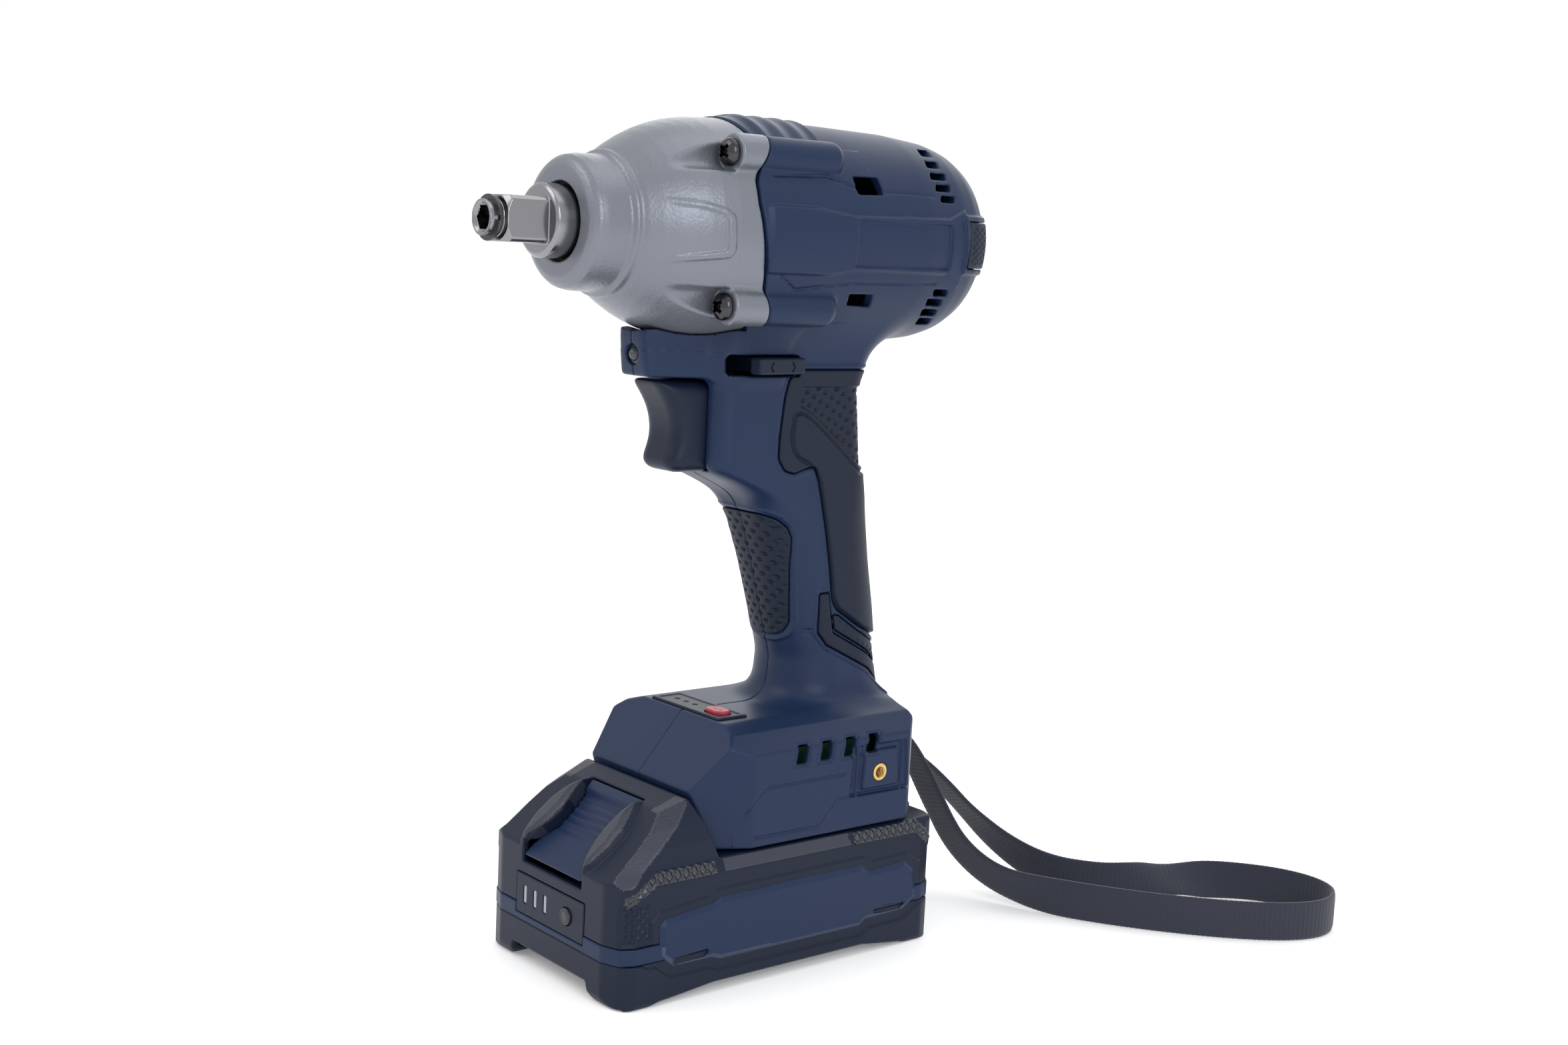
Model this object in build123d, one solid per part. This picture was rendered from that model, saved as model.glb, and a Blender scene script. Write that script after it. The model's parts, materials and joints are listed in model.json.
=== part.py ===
"""Cordless impact wrench: brushless motor, planetary gear, hammer and anvil, battery and wrist strap.

Millimetres. The anvil points along -Y, +X is the user's left and +Z is up. The wrench stands on the
feet of its battery at z = 0, and X = 0 is the plane where the two housing halves meet.
"""
from build123d import *
from math import cos, pi, sin, sqrt, tan, radians, degrees, acos
import os

# ---- Head, along Y, about the axis x = 0, z = AXIS_Z ----
AXIS_Z = 221.0
TIP_Y = -94.0            # end of the anvil
NOSE_Y = -69.0           # front of the hammer case
CASE_END_Y = -18.0       # where the hammer case meets the housing
HEAD_R = 33.0
HEAD_END_Y = 83.0
MIDDLE_Y = (TIP_Y + HEAD_END_Y) / 2     # every shape moves by this, so that the tool is centred on y = 0
WALL = 2.6               # housing wall
SCREW_X, SCREW_Z = 25.2, 21.6    # case screws, from the axis
BOSS_R = 5.2

# ---- Hammer, anvil and gear train ----
SQUARE = 12.7            # square drive across flats
ANVIL_R = 10.0           # anvil shank in its bushing
RUN = 0.05               # radial clearance of a running fit
HAMMER_R = 24.0
HAMMER_TRAVEL = 7.0
GEAR_MODULE = 0.9
SUN_TEETH, PLANET_TEETH, RING_TEETH = 12, 18, 48
CARRIER_R = GEAR_MODULE * (SUN_TEETH + PLANET_TEETH) / 2
GEAR_Y0, GEAR_Y1 = 3.5, 10.5
GEARCASE_R = 27.6
STATOR_R = 26.0

# ---- Handle, foot and controls ----
FOOT_X = 33.7
FOOT_Z0 = 40.3
GRIP_SKIN = 1.4          # rubber over the handle
TRIGGER_X = 9.0
LEVER_SWING = 8.6        # degrees either side of the middle
INSERT_Y, INSERT_Z = 33.6, 57.1
INSERT_R, THREAD_R, INSERT_LEN = 2.8, 1.65, 6.0    # M4 insert, drilled to the thread's minor diameter

# ---- Battery ----
PACK_X = 36.0
PACK_Y0, PACK_Y1 = -64.7, 60.0
PACK_SIDE = 35.2         # case half width under the side panels
PACK_WALL = 2.4
BAND_Z0, BAND_Z1 = 13.0, 18.0
PACK_TOP = 39.5
RIDGE_Y, RIDGE_Z = -40.1, 56.7          # top of the front slope
SLOPE_RUN, SLOPE_DROP = 24.6, 20.7       # of the front slope, down to the front face
CELL_R, CELL_LEN, CELL_PITCH = 9.0, 65.0, 19.0
PACK_SCREWS = [(x, y) for x in (-28.6, 28.6) for y in (-56.3, 51.6)]

# ---- Strap: route of the webbing's centreline, out of the foot, round on the floor and back ----
STRAP_TUBE_R = 2.6       # a round tube with the webbing's cross-section area, 13 x 1.6 mm
STRAP_ROUTE = [
    (1, 51.5, 65.5), (1.5, 60, 65), (2.5, 69, 59.5), (4.5, 77.5, 47.5), (7.5, 84.5, 32.5), (13, 90.5, 18.5),
    (24, 97, 9.5), (38, 104, 6.6), (56, 113.5, 6.5), (74, 126, 6.5), (90, 140, 6.5), (102.5, 155, 6.5),
    (107, 169, 6.5), (103, 181, 6.5), (92, 187, 6.5), (78, 185, 6.5), (64.5, 175.5, 6.5), (54, 160.5, 6.5),
    (47.5, 144.5, 6.5), (40, 130, 7), (29.5, 118, 9.5), (17.5, 108.5, 17), (8, 98.5, 29), (2, 86.5, 43),
    (-0.5, 74, 53), (-1, 62.5, 58), (-1, 51.5, 58.5),
]


# ---- Small shapes ----
def box(x0, x1, y0, y1, z0, z1):
    centre = Pos((x0 + x1) / 2, (y0 + y1) / 2, (z0 + z1) / 2)
    return centre * Box(x1 - x0, y1 - y0, z1 - z0)


def turned(shape, y=0.0, x=0.0, z=AXIS_Z):
    """Stands a shape built up +Z so that its +Z runs along +Y, from a point on a line parallel to Y."""
    return Pos(x, y, z) * Rot(-90, 0, 0) * shape


def rod(r, length):
    return Cylinder(r, length, align=(Align.CENTER, Align.CENTER, Align.MIN))


def rod_y(r, y0, y1, x=0.0, z=AXIS_Z):
    return turned(rod(r, y1 - y0), y0, x, z)


def ring_y(r_in, r_out, y0, y1, x=0.0, z=AXIS_Z):
    return rod_y(r_out, y0, y1, x, z) - rod_y(r_in, y0 - 1, y1 + 1, x, z)


def rod_x(r, x0, x1, y, z):
    return Pos(x0, y, z) * Rot(0, 90, 0) * rod(r, x1 - x0)


def rod_z(r, x, y, z0, z1):
    return Pos(x, y, z0) * rod(r, z1 - z0)


def outline(points):
    """A polygon whose corners run anticlockwise, so that its face looks along its plane's normal."""
    area = sum(a[0] * b[1] - b[0] * a[1] for a, b in zip(points, points[1:] + points[:1]))
    return Polygon(*(points if area > 0 else points[::-1]), align=None)


def prism_x(points, x0, x1):
    """A side outline (y, z) drawn out along X."""
    return extrude(Plane.YZ.offset(x0) * outline(points), x1 - x0)


def prism_y(points, y0, y1):
    """A front outline (x, z) drawn out along Y."""
    return extrude(Plane.XZ.offset(-y1) * outline(points), y1 - y0)


def prism_z(points, z0, z1):
    """A plan outline (x, y) drawn out along Z."""
    return extrude(Plane.XY.offset(z0) * outline(points), z1 - z0)


def about_axis(angle):
    """A turn about the head's axis, in degrees."""
    return Pos(0, 0, AXIS_Z) * Rot(0, angle, 0) * Pos(0, 0, -AXIS_Z)


def spun(points):
    """A profile (y, radius) turned about the head's axis."""
    face = Plane.YZ * outline([(y, AXIS_Z + r) for y, r in points])
    return revolve(face, Axis((0, 0, AXIS_Z), (0, 1, 0)))


def group(shapes):
    return Compound(children=[s for shape in shapes for s in shape.solids()])


def screw(r_head, h_head, r_shank, length):
    """A pan-head screw with a cross recess: head up at z = 0..h_head, shank down."""
    head = rod(r_head, h_head)
    head = fillet(head.edges().group_by(Axis.Z)[-1], h_head * 0.45)
    recess = Pos(0, 0, h_head) * (Box(r_head * 1.05, r_head * 0.28, 1.6) + Box(r_head * 0.28, r_head * 1.05, 1.6))
    return head - recess + Pos(0, 0, -length) * rod(r_shank, length)


def ball_race(r_in, r_out, y0, y1):
    """A sealed ball bearing as its inner and outer rings, which leave a thin gap between them."""
    middle = (r_in + r_out) / 2
    return ring_y(r_in, middle - 0.4, y0, y1), ring_y(middle + 0.4, r_out, y0, y1)


def gear_face(teeth, addendum=1.0, dedendum=1.2, play=0.06):
    """A spur gear's outline with involute flanks; one tooth is centred on local +X."""
    pitch_r = GEAR_MODULE * teeth / 2
    base_r = pitch_r * cos(radians(20))
    tip_r, root_r = pitch_r + addendum * GEAR_MODULE, pitch_r - dedendum * GEAR_MODULE

    def half_angle(r):
        """Half the tooth's angle at radius r, narrowed by the play at the pitch circle."""
        def involute(radius):
            pressure = acos(min(1.0, base_r / radius))
            return tan(pressure) - pressure
        return pi / (2 * teeth) - play / pitch_r + involute(pitch_r) - involute(max(r, base_r))

    flank = [(root_r, half_angle(root_r))]
    start = max(base_r, root_r)
    flank += [(start + (tip_r - start) * i / 5, half_angle(start + (tip_r - start) * i / 5)) for i in range(1, 6)]
    points = []
    for tooth in range(teeth):
        middle = 2 * pi * tooth / teeth
        for r, half in flank:
            points.append((r * cos(middle - half), r * sin(middle - half)))
        for r, half in reversed(flank):
            points.append((r * cos(middle + half), r * sin(middle + half)))
    return outline(points)


def gear(teeth, **shape):
    return Pos(0, 0, GEAR_Y0) * extrude(gear_face(teeth, **shape), GEAR_Y1 - GEAR_Y0)


def coil(mean_r, wire_r, length, turns):
    path = Helix(pitch=length / turns, height=length, radius=mean_r)
    section = Plane(path @ 0, z_dir=path % 0) * Circle(wire_r)
    return sweep(section, path=path, is_frenet=True)


# ---- Housing ----
HANDLE = [  # height, front, back, half width, corner radius
    (72, 13, 55, 17, 15), (90, 14.3, 51.3, 16.5, 15), (105, 10.1, 49, 16.5, 15), (120, 5.7, 45.8, 16.5, 15),
    (134, 1, 42.9, 16.5, 14), (143, -7, 40.1, 16.5, 10), (149, -21.5, 38.1, 16.2, 8),
    (176, -21.5, 35, 16.2, 8), (187, -21.5, 45.5, 17, 8), (204, -21.5, 62, 17, 8),
]
FOOT_SIDE = [(-27, FOOT_Z0), (52, FOOT_Z0), (52, 69.8), (49.9, 76), (-18.9, 76), (-22.7, 71.7), (-34.5, 58.3)]
FOOT_PLAN = [(FOOT_X, -16), (FOOT_X, 46), (28, 52), (-28, 52), (-FOOT_X, 46), (-FOOT_X, -16), (-25, -35), (25, -35)]
CHIN_SIDE = [(-18, 177.8), (-41.8, 177.8), (-43.6, 191.3), (-43.6, 204), (-18, 204)]
CHIN_PLAN = [(6.3, -43.6), (8, -38), (12, -24), (12, -16), (-12, -16), (-12, -24), (-8, -38), (-6.3, -43.6)]
REAR_GRIP = [
    (11, 180.5), (9, 178), (4, 174.6), (2, 172), (1.3, 155), (4, 150.8), (9, 149.8), (15, 151.5), (19.5, 142.7),
    (20.5, 138.7), (23.5, 123), (27, 108), (30, 80), (70, 80), (70, 180.5),
]
FRONT_GRIP = [(-30, 138.7), (11, 138.7), (15.5, 132), (17.5, 114), (17.5, 93), (-30, 93)]
FOOT_ROOM = [(-24.2, 39), (49.4, 39), (49.4, 69), (47.6, 73.4), (-17.6, 73.4), (-20.2, 70.6), (-31, 58)]
HOUSING_SCREWS = [(-33, 184.5), (30, 183.5), (10, 134), (26, 92), (-19, 62), (44, 70), (68, 243), (68, 199)]
LEVER_Y = -6.0


def head_form(inset=0.0):
    profile = [(CASE_END_Y, HEAD_R), (19, HEAD_R), (45, 32.4), (60, 31), (66, 29.5), (71, 27), (75.5, 22.2), (79, 17)]
    profile = [(CASE_END_Y, 0)] + [(y, r - inset) for y, r in profile]
    return spun(profile + [(81.5 - 0.6 * inset, max(10.5 - inset, 0.5)), (HEAD_END_Y - inset, 0)])


def handle_form(inset=0.0):
    faces = []
    for z, front, back, half, corner in HANDLE:
        size = RectangleRounded(2 * (half - inset), back - front - 2 * inset, corner - inset)
        faces.append(Plane.XY.offset(z) * Pos(0, (front + back) / 2) * size)
    return loft(faces, ruled=True)


def foot_form(side, inset=0.0):
    x, top = FOOT_X - inset, 76 - inset
    front = [(-x, 36), (x, 36), (x, 68.5), (27 - inset, top - 2.3), (20, top), (-20, top), (-27 + inset, top - 2.3)]
    front.append((-x, 68.5))
    plan = [(px * x / FOOT_X, py) for px, py in FOOT_PLAN]
    return prism_x(side, -x, x) & prism_z(plan, 30, 90) & prism_y(front, -40, 60)


def case_profile():
    return [
        (NOSE_Y, 11.2), (NOSE_Y, 14.6), (-68, 16.8), (-66.4, 18.2), (-64.5, 18.8), (-57, 19.2), (-55.5, 20),
        (-53.5, 20.2), (-52, 20.9), (-48, 22.9), (-44, 25.2), (-40, 27.4), (-35, 29.5), (-30, 30.8), (-25, 31.7),
        (CASE_END_Y, 32.4), (CASE_END_Y, 27.7), (-38, 25.2), (-44.6, 22.5), (-44.6, 13.5), (-67.6, 13.5),
        (-67.6, 11.2),
    ]


def case_bosses(y0, y1, r=BOSS_R):
    places = [(sx * SCREW_X, AXIS_Z + sz * SCREW_Z) for sx in (-1, 1) for sz in (-1, 1)]
    return [rod_y(r, y0, y1, x, z) for x, z in places]


def grip(region, side):
    half = box(0, 20, -40, 80, 60, 200) if side > 0 else box(-20, 0, -40, 80, 60, 200)
    return (handle_form() - handle_form(GRIP_SKIN)) & prism_x(region, -20, 20) & half


def bumper():
    band = box(-40, 40, 60, 100, AXIS_Z - 7.5, AXIS_Z + 7.5)
    return (head_form() - head_form(2.0)) & band


def housing():
    outer = head_form() + handle_form() + foot_form(FOOT_SIDE)
    outer += prism_x(CHIN_SIDE, -12, 12) & prism_z(CHIN_PLAN, 170, 210)
    outer += case_bosses(CASE_END_Y, 22)
    head_room = spun([(-19, 0), (-19, 30), (45, 29.6), (60, 28.2), (66, 26.6), (70, 24), (72.5, 21), (72.5, 0)])
    grip_room = handle_form(WALL + GRIP_SKIN) & box(-20, 20, -40, 80, 74, 203)
    foot_room = foot_form(FOOT_ROOM, WALL)
    chin_room = box(-5.6, 5.6, -39.5, -16, 180.4, 196)
    shell = outer - head_room - grip_room - foot_room - chin_room
    shell += case_bosses(CASE_END_Y, 22)
    shell -= case_bosses(CASE_END_Y - 1, 10, 2.0)
    shell += ring_y(STATOR_R + 0.02, 30, 42, 45) + ring_y(STATOR_R + 0.02, 28.6, 54, 57)      # stator seats
    shell += ring_y(8.0, 11, 65, 74)                                          # rear bearing seat
    shell -= spun([(-30, 0), (-30, 32.7), (CASE_END_Y, 32.7), (CASE_END_Y, 0)])
    shell -= spun(case_profile()[1:16] + [(CASE_END_Y, 0), (NOSE_Y, 0)])
    for y, z in HOUSING_SCREWS:
        shell += rod_x(3.6, -40, 40, y, z) & outer
    rail = box(18.2, 31.4, -22, 49.5, 41.2, 44.8)
    shell += rail + mirror(rail, Plane.YZ)
    shell -= box(-22.8, 22.8, -40, -20, 40, 52.4)                             # battery's way in
    shell -= box(-TRIGGER_X - 0.4, TRIGGER_X + 0.4, -30, -8, 150.2, 177.2)    # trigger's way in
    shell -= box(-24, 24, LEVER_Y - 13.4, LEVER_Y + 13.4, 178.9, 185.1)       # direction lever's slot
    shell -= rod_y(3.05, -50, -38, 0, 184.2)                                  # lamp
    shell -= box(-17.1, 17.1, -18.1, -6.9, 73.9, 80)                          # control panel
    shell -= box(-15.4, 15.4, -17, -8, 70, 74)                                # under the panel
    shell -= box(-7, 7, 48, 54, 55.4, 68.6)                                   # strap's way out
    for s in (-1, 1):
        shell += rod_x(4.6, min(s * 26, s * 33), max(s * 26, s * 33), INSERT_Y, INSERT_Z)
        shell -= rod_x(INSERT_R, min(s * 27.7, s * 35), max(s * 27.7, s * 35), INSERT_Y, INSERT_Z)
    windows = [(11.4, 22, 233.3, 238.5), (14.5, 24.3, 200.7, 204.4)]
    windows += [(48 + 0.5 * i, 56.5, 246.2 - 3.3 * i, 248 - 3.3 * i) for i in range(5)]
    windows += [(50, 57.5, 204.4 - 2.9 * i, 206.2 - 2.9 * i) for i in range(4)]
    for y0, y1, z0, z1 in windows:
        shell -= box(-40, 40, y0, y1, z0, z1)
    for i in range(4):
        shell -= box(-40, 40, 1.4 + 9.5 * i, 4.4 + 9.5 * i, 63.7, 69)
    grips = prism_x(REAR_GRIP, -20, 20) + prism_x(FRONT_GRIP, -20, 20)
    shell -= (handle_form() - handle_form(GRIP_SKIN)) & grips
    shell -= bumper()
    return shell


def screw_seat(y, z):
    """The X of the outer surface on the right side, where a housing screw's head sits."""
    if z > 190:
        return -sqrt(max(27.5 ** 2 - (z - AXIS_Z) ** 2, 0))
    return -FOOT_X if z < 70 else (-10.0 if y < -25 else -16.5)


def save(node, shape):
    solids = [Pos(0, -MIDDLE_Y, 0) * solid for solid in shape.solids()]
    export_step(solids[0] if len(solids) == 1 else Compound(children=solids), f"parts/{node}.step")


def make_housing():
    body = housing()
    cuts, screws = [], []
    for y, z in HOUSING_SCREWS:
        seat = screw_seat(y, z) + 3.0
        cuts.append(rod_x(1.6, seat, 6.5, y, z))
        cuts.append(rod_x(3.3, -40, seat, y, z))
        screws.append(Pos(seat, y, z) * Rot(0, -90, 0) * screw(3.0, 2.0, 1.6, 6.5 - seat))
    for cut in cuts:
        body -= cut
    left = body & box(0, 60, -60, 120, 30, 270)
    right = body & box(-60, 0, -60, 120, 30, 270)
    save("housing_left", left)
    save("housing_right", right)
    save("housing_screws", group(screws))
    save("rear_bumper", bumper())
    for name, region in (("rear_grips", REAR_GRIP), ("front_grips", FRONT_GRIP)):
        skins = [grip(region, side) for side in (1, -1)]
        for cut in cuts:
            skins = [skin - cut for skin in skins]
        save(name, group(skins))


def make_hammer_case():
    case = spun(case_profile())
    case += case_bosses(-28.7, CASE_END_Y)
    case -= spun([(-44.6, 0), (-44.6, 22.5), (-38, 25.2), (CASE_END_Y, 27.7), (CASE_END_Y + 1, 0)])
    case -= case_bosses(-40, CASE_END_Y + 1, 2.0)
    case -= case_bosses(-45, -28.7, 4.5)
    save("hammer_case", case)
    save("nose_bushing", ring_y(ANVIL_R + RUN, 13.5, -67.5, -46.5))
    screws = [Pos(sx * SCREW_X, -28.7, AXIS_Z + sz * SCREW_Z) * Rot(90, 0, 0) * screw(4.0, 3.0, 2.0, 38)
              for sx in (-1, 1) for sz in (-1, 1)]
    save("case_screws", group(screws))


# ---- Hammer, anvil and gear train ----
def make_anvil():
    anvil = rod_y(ANVIL_R, -75.5, -44)
    square = box(-SQUARE / 2, SQUARE / 2, -89.5, -75, AXIS_Z - SQUARE / 2, AXIS_Z + SQUARE / 2)
    anvil += square & spun([(-90, 0), (-90, 6.6), (-88.4, 8.2), (-74, 8.2), (-74, 0)])
    anvil += spun([(TIP_Y, 0), (TIP_Y, 5.4), (-93.2, 6.1), (-89, 6.1), (-89, 0)])
    anvil += rod_y(12.5, -44, -37.6)
    for s in (-1, 1):
        lug = Pos(0, 0, s * 10.5) * box(-6, 6, -44, -37.6, AXIS_Z - 10.5, AXIS_Z + 10.5)
        anvil += lug & rod_y(20.5, -44, -37.6)
    hexagon = extrude(RegularPolygon(6.4 / sqrt(3), 6), 14)
    anvil -= turned(hexagon, TIP_Y - 1)
    anvil -= rod_y(4.0 + RUN, -52, -36)
    anvil -= rod_z(1.6, 0, -84.5, AXIS_Z - 7, AXIS_Z - 2)
    anvil -= ring_y(5.0, 6.8, -92.0, -90.4)
    save("anvil", anvil)
    ring = turned(rod(6.35, 0.7) - Pos(0, 0, -1) * rod(5.0, 3) - Pos(4, 0, 0) * Box(8, 1.4, 4), -92.0)
    save("friction_ring", ring)
    save("o_ring", turned(Pos(0, 0, 0.45) * Torus(5.45, 0.45), -91.3))


def make_hammer():
    body = rod_y(HAMMER_R, -36.6, -9)
    body -= rod_y(7.5 + RUN, -37, -8)
    body -= ring_y(6, 11.8, -33.4, -18.8)
    body -= ring_y(13.6, 21.2, -26, -8)
    for s in (0, 180):
        block = box(13.2, 22.2, -43.8, -36.6, AXIS_Z - 9, AXIS_Z + 9) & ring_y(13.2, 22.2, -43.8, -36.6)
        body += about_axis(s) * block
    save("hammer", body)
    save("hammer_spring", turned(coil(17.3, 1.5, 22.2 - 3.1, 5), -26 + 1.6))


def make_spindle():
    spindle = rod_y(4.0, -51.5, -44.2) + rod_y(7.5, -44.2 + 7.6, 0)
    spindle += rod_y(4.0, -44.2, -36.6)
    spindle += rod_y(19.4, 0, 3) + rod_y(19.4, 11, 14) + rod_y(8.5, 14, 20.5)
    for k in range(3):
        web = box(14, 19.4, 3, 11, AXIS_Z - 2, AXIS_Z + 2)
        spindle += about_axis(-30 - 120 * k) * web & rod_y(19.4, 2, 12)
    spindle -= rod_y(6.7, 3, 21)
    spindle -= turned(Torus(9.0, 2.6), -22)
    pins = [rod_y(2.0, 0.5, 13.5, x, z) for x, z in planet_places()]
    for pin in pins:
        spindle -= pin
    save("spindle", spindle)
    save("planet_pins", group(pins))
    save("cam_balls", group([Pos(s * 9.1, -22, AXIS_Z) * Sphere(2.5) for s in (-1, 1)]))


def planet_places():
    """Planet centres (x, z), 120 degrees apart; the first stands above the sun."""
    angles = [radians(90 + 120 * k) for k in range(3)]
    return [(CARRIER_R * cos(a), AXIS_Z + CARRIER_R * sin(a)) for a in angles]


def make_gears():
    half_pitch = 180 / PLANET_TEETH
    bore = Pos(0, 0, GEAR_Y0 - 1) * rod(2.0 + RUN, 10)
    for k, (x, z) in enumerate(planet_places()):
        turn = -(90 + 120 * k)       # local angles run the other way round Y
        wheel = Rot(0, 0, turn + half_pitch) * (gear(PLANET_TEETH) - bore)
        save(f"planet_gear_{k + 1}", turned(wheel, 0, x, z))
    blank = Pos(0, 0, 1.5) * rod(26.0, 11.5)
    teeth = Rot(0, 0, 180 / RING_TEETH) * extrude(gear_face(RING_TEETH, 1.25, 0.8, -0.06), 16)
    save("ring_gear", turned(blank - teeth))


def make_motor():
    shaft = rod_y(4.0, 10.5, 64) + rod_y(3.0, 64, 72)
    save("motor_shaft", shaft + turned(Rot(0, 0, -90) * gear(SUN_TEETH)))
    save("rotor_core", ring_y(4.0, 12.0, 40, 59))
    magnets = ring_y(12.0, 13.4, 40.5, 58.5)
    gaps = [box(-20, 20, 40, 62, AXIS_Z - 0.5, AXIS_Z + 0.5), box(-0.5, 0.5, 40, 62, AXIS_Z - 20, AXIS_Z + 20)]
    for gap in gaps:
        magnets -= gap
    save("rotor_magnets", group([magnets]))
    fan = ring_y(4.0, 7.0, 31.5, 37) + ring_y(6.5, 25.5, 31.5, 32.7)
    for k in range(13):
        blade = box(8, 25, 32.7, 36.6, AXIS_Z - 0.6, AXIS_Z + 0.6)
        fan += about_axis(360 / 13 * k) * blade
    save("motor_fan", fan)

    stator = ring_y(21.5, STATOR_R, 40, 58)
    coils = []
    for k in range(6):
        spin = about_axis(60 * k)
        tooth = box(14.6, 22, 40, 58, AXIS_Z - 2.5, AXIS_Z + 2.5) + box(14.2, 15.6, 40, 58, AXIS_Z - 5.5, AXIS_Z + 5.5)
        stator += spin * tooth
        winding = box(16.2, 21.0, 38, 60.4, AXIS_Z - 5, AXIS_Z + 5) - box(16, 22, 40, 58, AXIS_Z - 2.5, AXIS_Z + 2.5)
        coils.append(spin * (winding - ring_y(21.4, 30, 30, 70)))
    save("stator_core", stator)
    save("stator_coils", group(coils))
    save("hall_board", ring_y(9.5, 20, 61.6, 63.2))

    case = ring_y(26.0, GEARCASE_R, CASE_END_Y + 0.1, 14.5) + ring_y(14.0, GEARCASE_R, 14.5, 17.5)
    case += ring_y(13.5, 16.5, 14.5, 21) + ring_y(9.0, 16.5, 21, 30)
    save("gear_housing", case - ring_y(5, 10.0, 23, 31))
    races = [ball_race(8.5, 13.5, 15, 20.5), ball_race(4.0, 10.0, 23.5, 30), ball_race(3.0, 8.0, 66, 71)]
    save("bearing_outer_rings", group([outer for inner, outer in races]))
    save("spindle_bearing_inner", races[0][0])
    save("motor_bearings_inner", group([races[1][0], races[2][0]]))


# ---- Controls ----
def make_controls():
    side = [(-37.5, 176.2), (-31, 167.3), (-30.2, 162), (-32, 153), (-29.5, 150.6), (-16, 150.6), (-16, 176.6),
            (-35, 176.6)]
    trigger = prism_x(side, -TRIGGER_X, TRIGGER_X)
    trigger = fillet(trigger.edges().filter_by_position(Axis.Y, -45, -30).filter_by(Axis.X, reverse=True), 2.5)
    trigger -= box(-TRIGGER_X + 1.8, TRIGGER_X - 1.8, -27.4, -14, 152.4, 174.8)
    save("trigger", trigger)
    save("trigger_spring", turned(coil(4.0, 0.5, 16.7, 6), -26.8, 0, 163))
    switch = box(-12, 12, -9.2, 27, 153, 174.5) + rod_z(2.0, 0, LEVER_Y, 174, 185.5)
    save("trigger_switch", switch)

    lever = box(-19.8, 19.8, LEVER_Y - 5, LEVER_Y + 5, 179.6, 184.4)
    for x in (-18.8, 18.8):
        lever += box(x - 1.8, x + 1.8, LEVER_Y - 9.8, LEVER_Y + 9.8, 179.9, 184.1)
    lever -= rod_z(2.0 + RUN, 0, LEVER_Y, 178, 186)
    save("direction_lever", Pos(0, LEVER_Y, 0) * Rot(0, 0, LEVER_SWING) * Pos(0, -LEVER_Y, 0) * lever)

    lens = rod_y(3.0, -42.0, -39.4, 0, 184.2) + Pos(0, -41.6, 184.2) * Sphere(2.0)
    save("lamp_lens", lens)

    panel = box(-17, 17, -18, -7, 74, 76.4)
    button_hole = Pos(9.5, -12.5, 73) * extrude(SlotOverall(9.2, 6.2), 5)
    save("control_panel", panel - button_hole)
    button = Pos(9.5, -12.5, 73.4) * extrude(SlotOverall(8.6, 5.6), 4.0)
    save("panel_button", button)
    save("small_boards", group([box(-14.6, 14.6, -16.6, -8.4, 70.6, 72.0), box(-5, 5, -38.8, -37.4, 181, 188)]))
    save("controller_board", box(-24, 24, -4, 39.6, 60, 66))

    plate = box(-30.9, 30.9, -16, 45.8, 52.6, 55)
    for s in (-1, 1):
        plate -= rod_x(4.7, min(s * 25, s * 40), max(s * 25, s * 40), INSERT_Y, INSERT_Z)
    plate += box(-15, 15, 39, 49, 45.4, 52.6)
    for y, z in HOUSING_SCREWS:
        plate -= rod_x(3.7, -9, 9, y, z)
    save("terminal_block", plate)
    blades = [box(x - 0.4, x + 0.4, 26.5, 39, 46.8, 50.8) for x in (-12, -4, 4, 12)]
    save("terminal_blades", group(blades))
    inserts = []
    for s in (-1, 1):
        insert = rod_x(INSERT_R, min(s * 27.7, s * 33.9), max(s * 27.7, s * 33.9), INSERT_Y, INSERT_Z)
        inserts.append(insert - rod_x(THREAD_R, -40, 40, INSERT_Y, INSERT_Z))
    save("hook_inserts", group(inserts))


# ---- Battery ----
def pack_ring(z0, z1, inset=0.0):
    long = PACK_Y1 - PACK_Y0 - 2 * inset
    plan = RectangleRounded(2 * (PACK_SIDE - inset), long, 9 - inset)
    return extrude(Plane.XY.offset(z0) * Pos(0, (PACK_Y0 + PACK_Y1) / 2) * plan, z1 - z0)


def slope_box(x0, x1, t0, t1, n0, n1):
    """A box on the front slope: t runs down the slope from the ridge and n stands out of it."""
    length = sqrt(SLOPE_RUN ** 2 + SLOPE_DROP ** 2)
    down, out = (-SLOPE_RUN / length, -SLOPE_DROP / length), (-SLOPE_DROP / length, SLOPE_RUN / length)
    corner = [(RIDGE_Y + t * down[0] + n * out[0], RIDGE_Z + t * down[1] + n * out[1])
              for t, n in ((t0, n0), (t1, n0), (t1, n1), (t0, n1))]
    return prism_x(corner, x0, x1)


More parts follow.
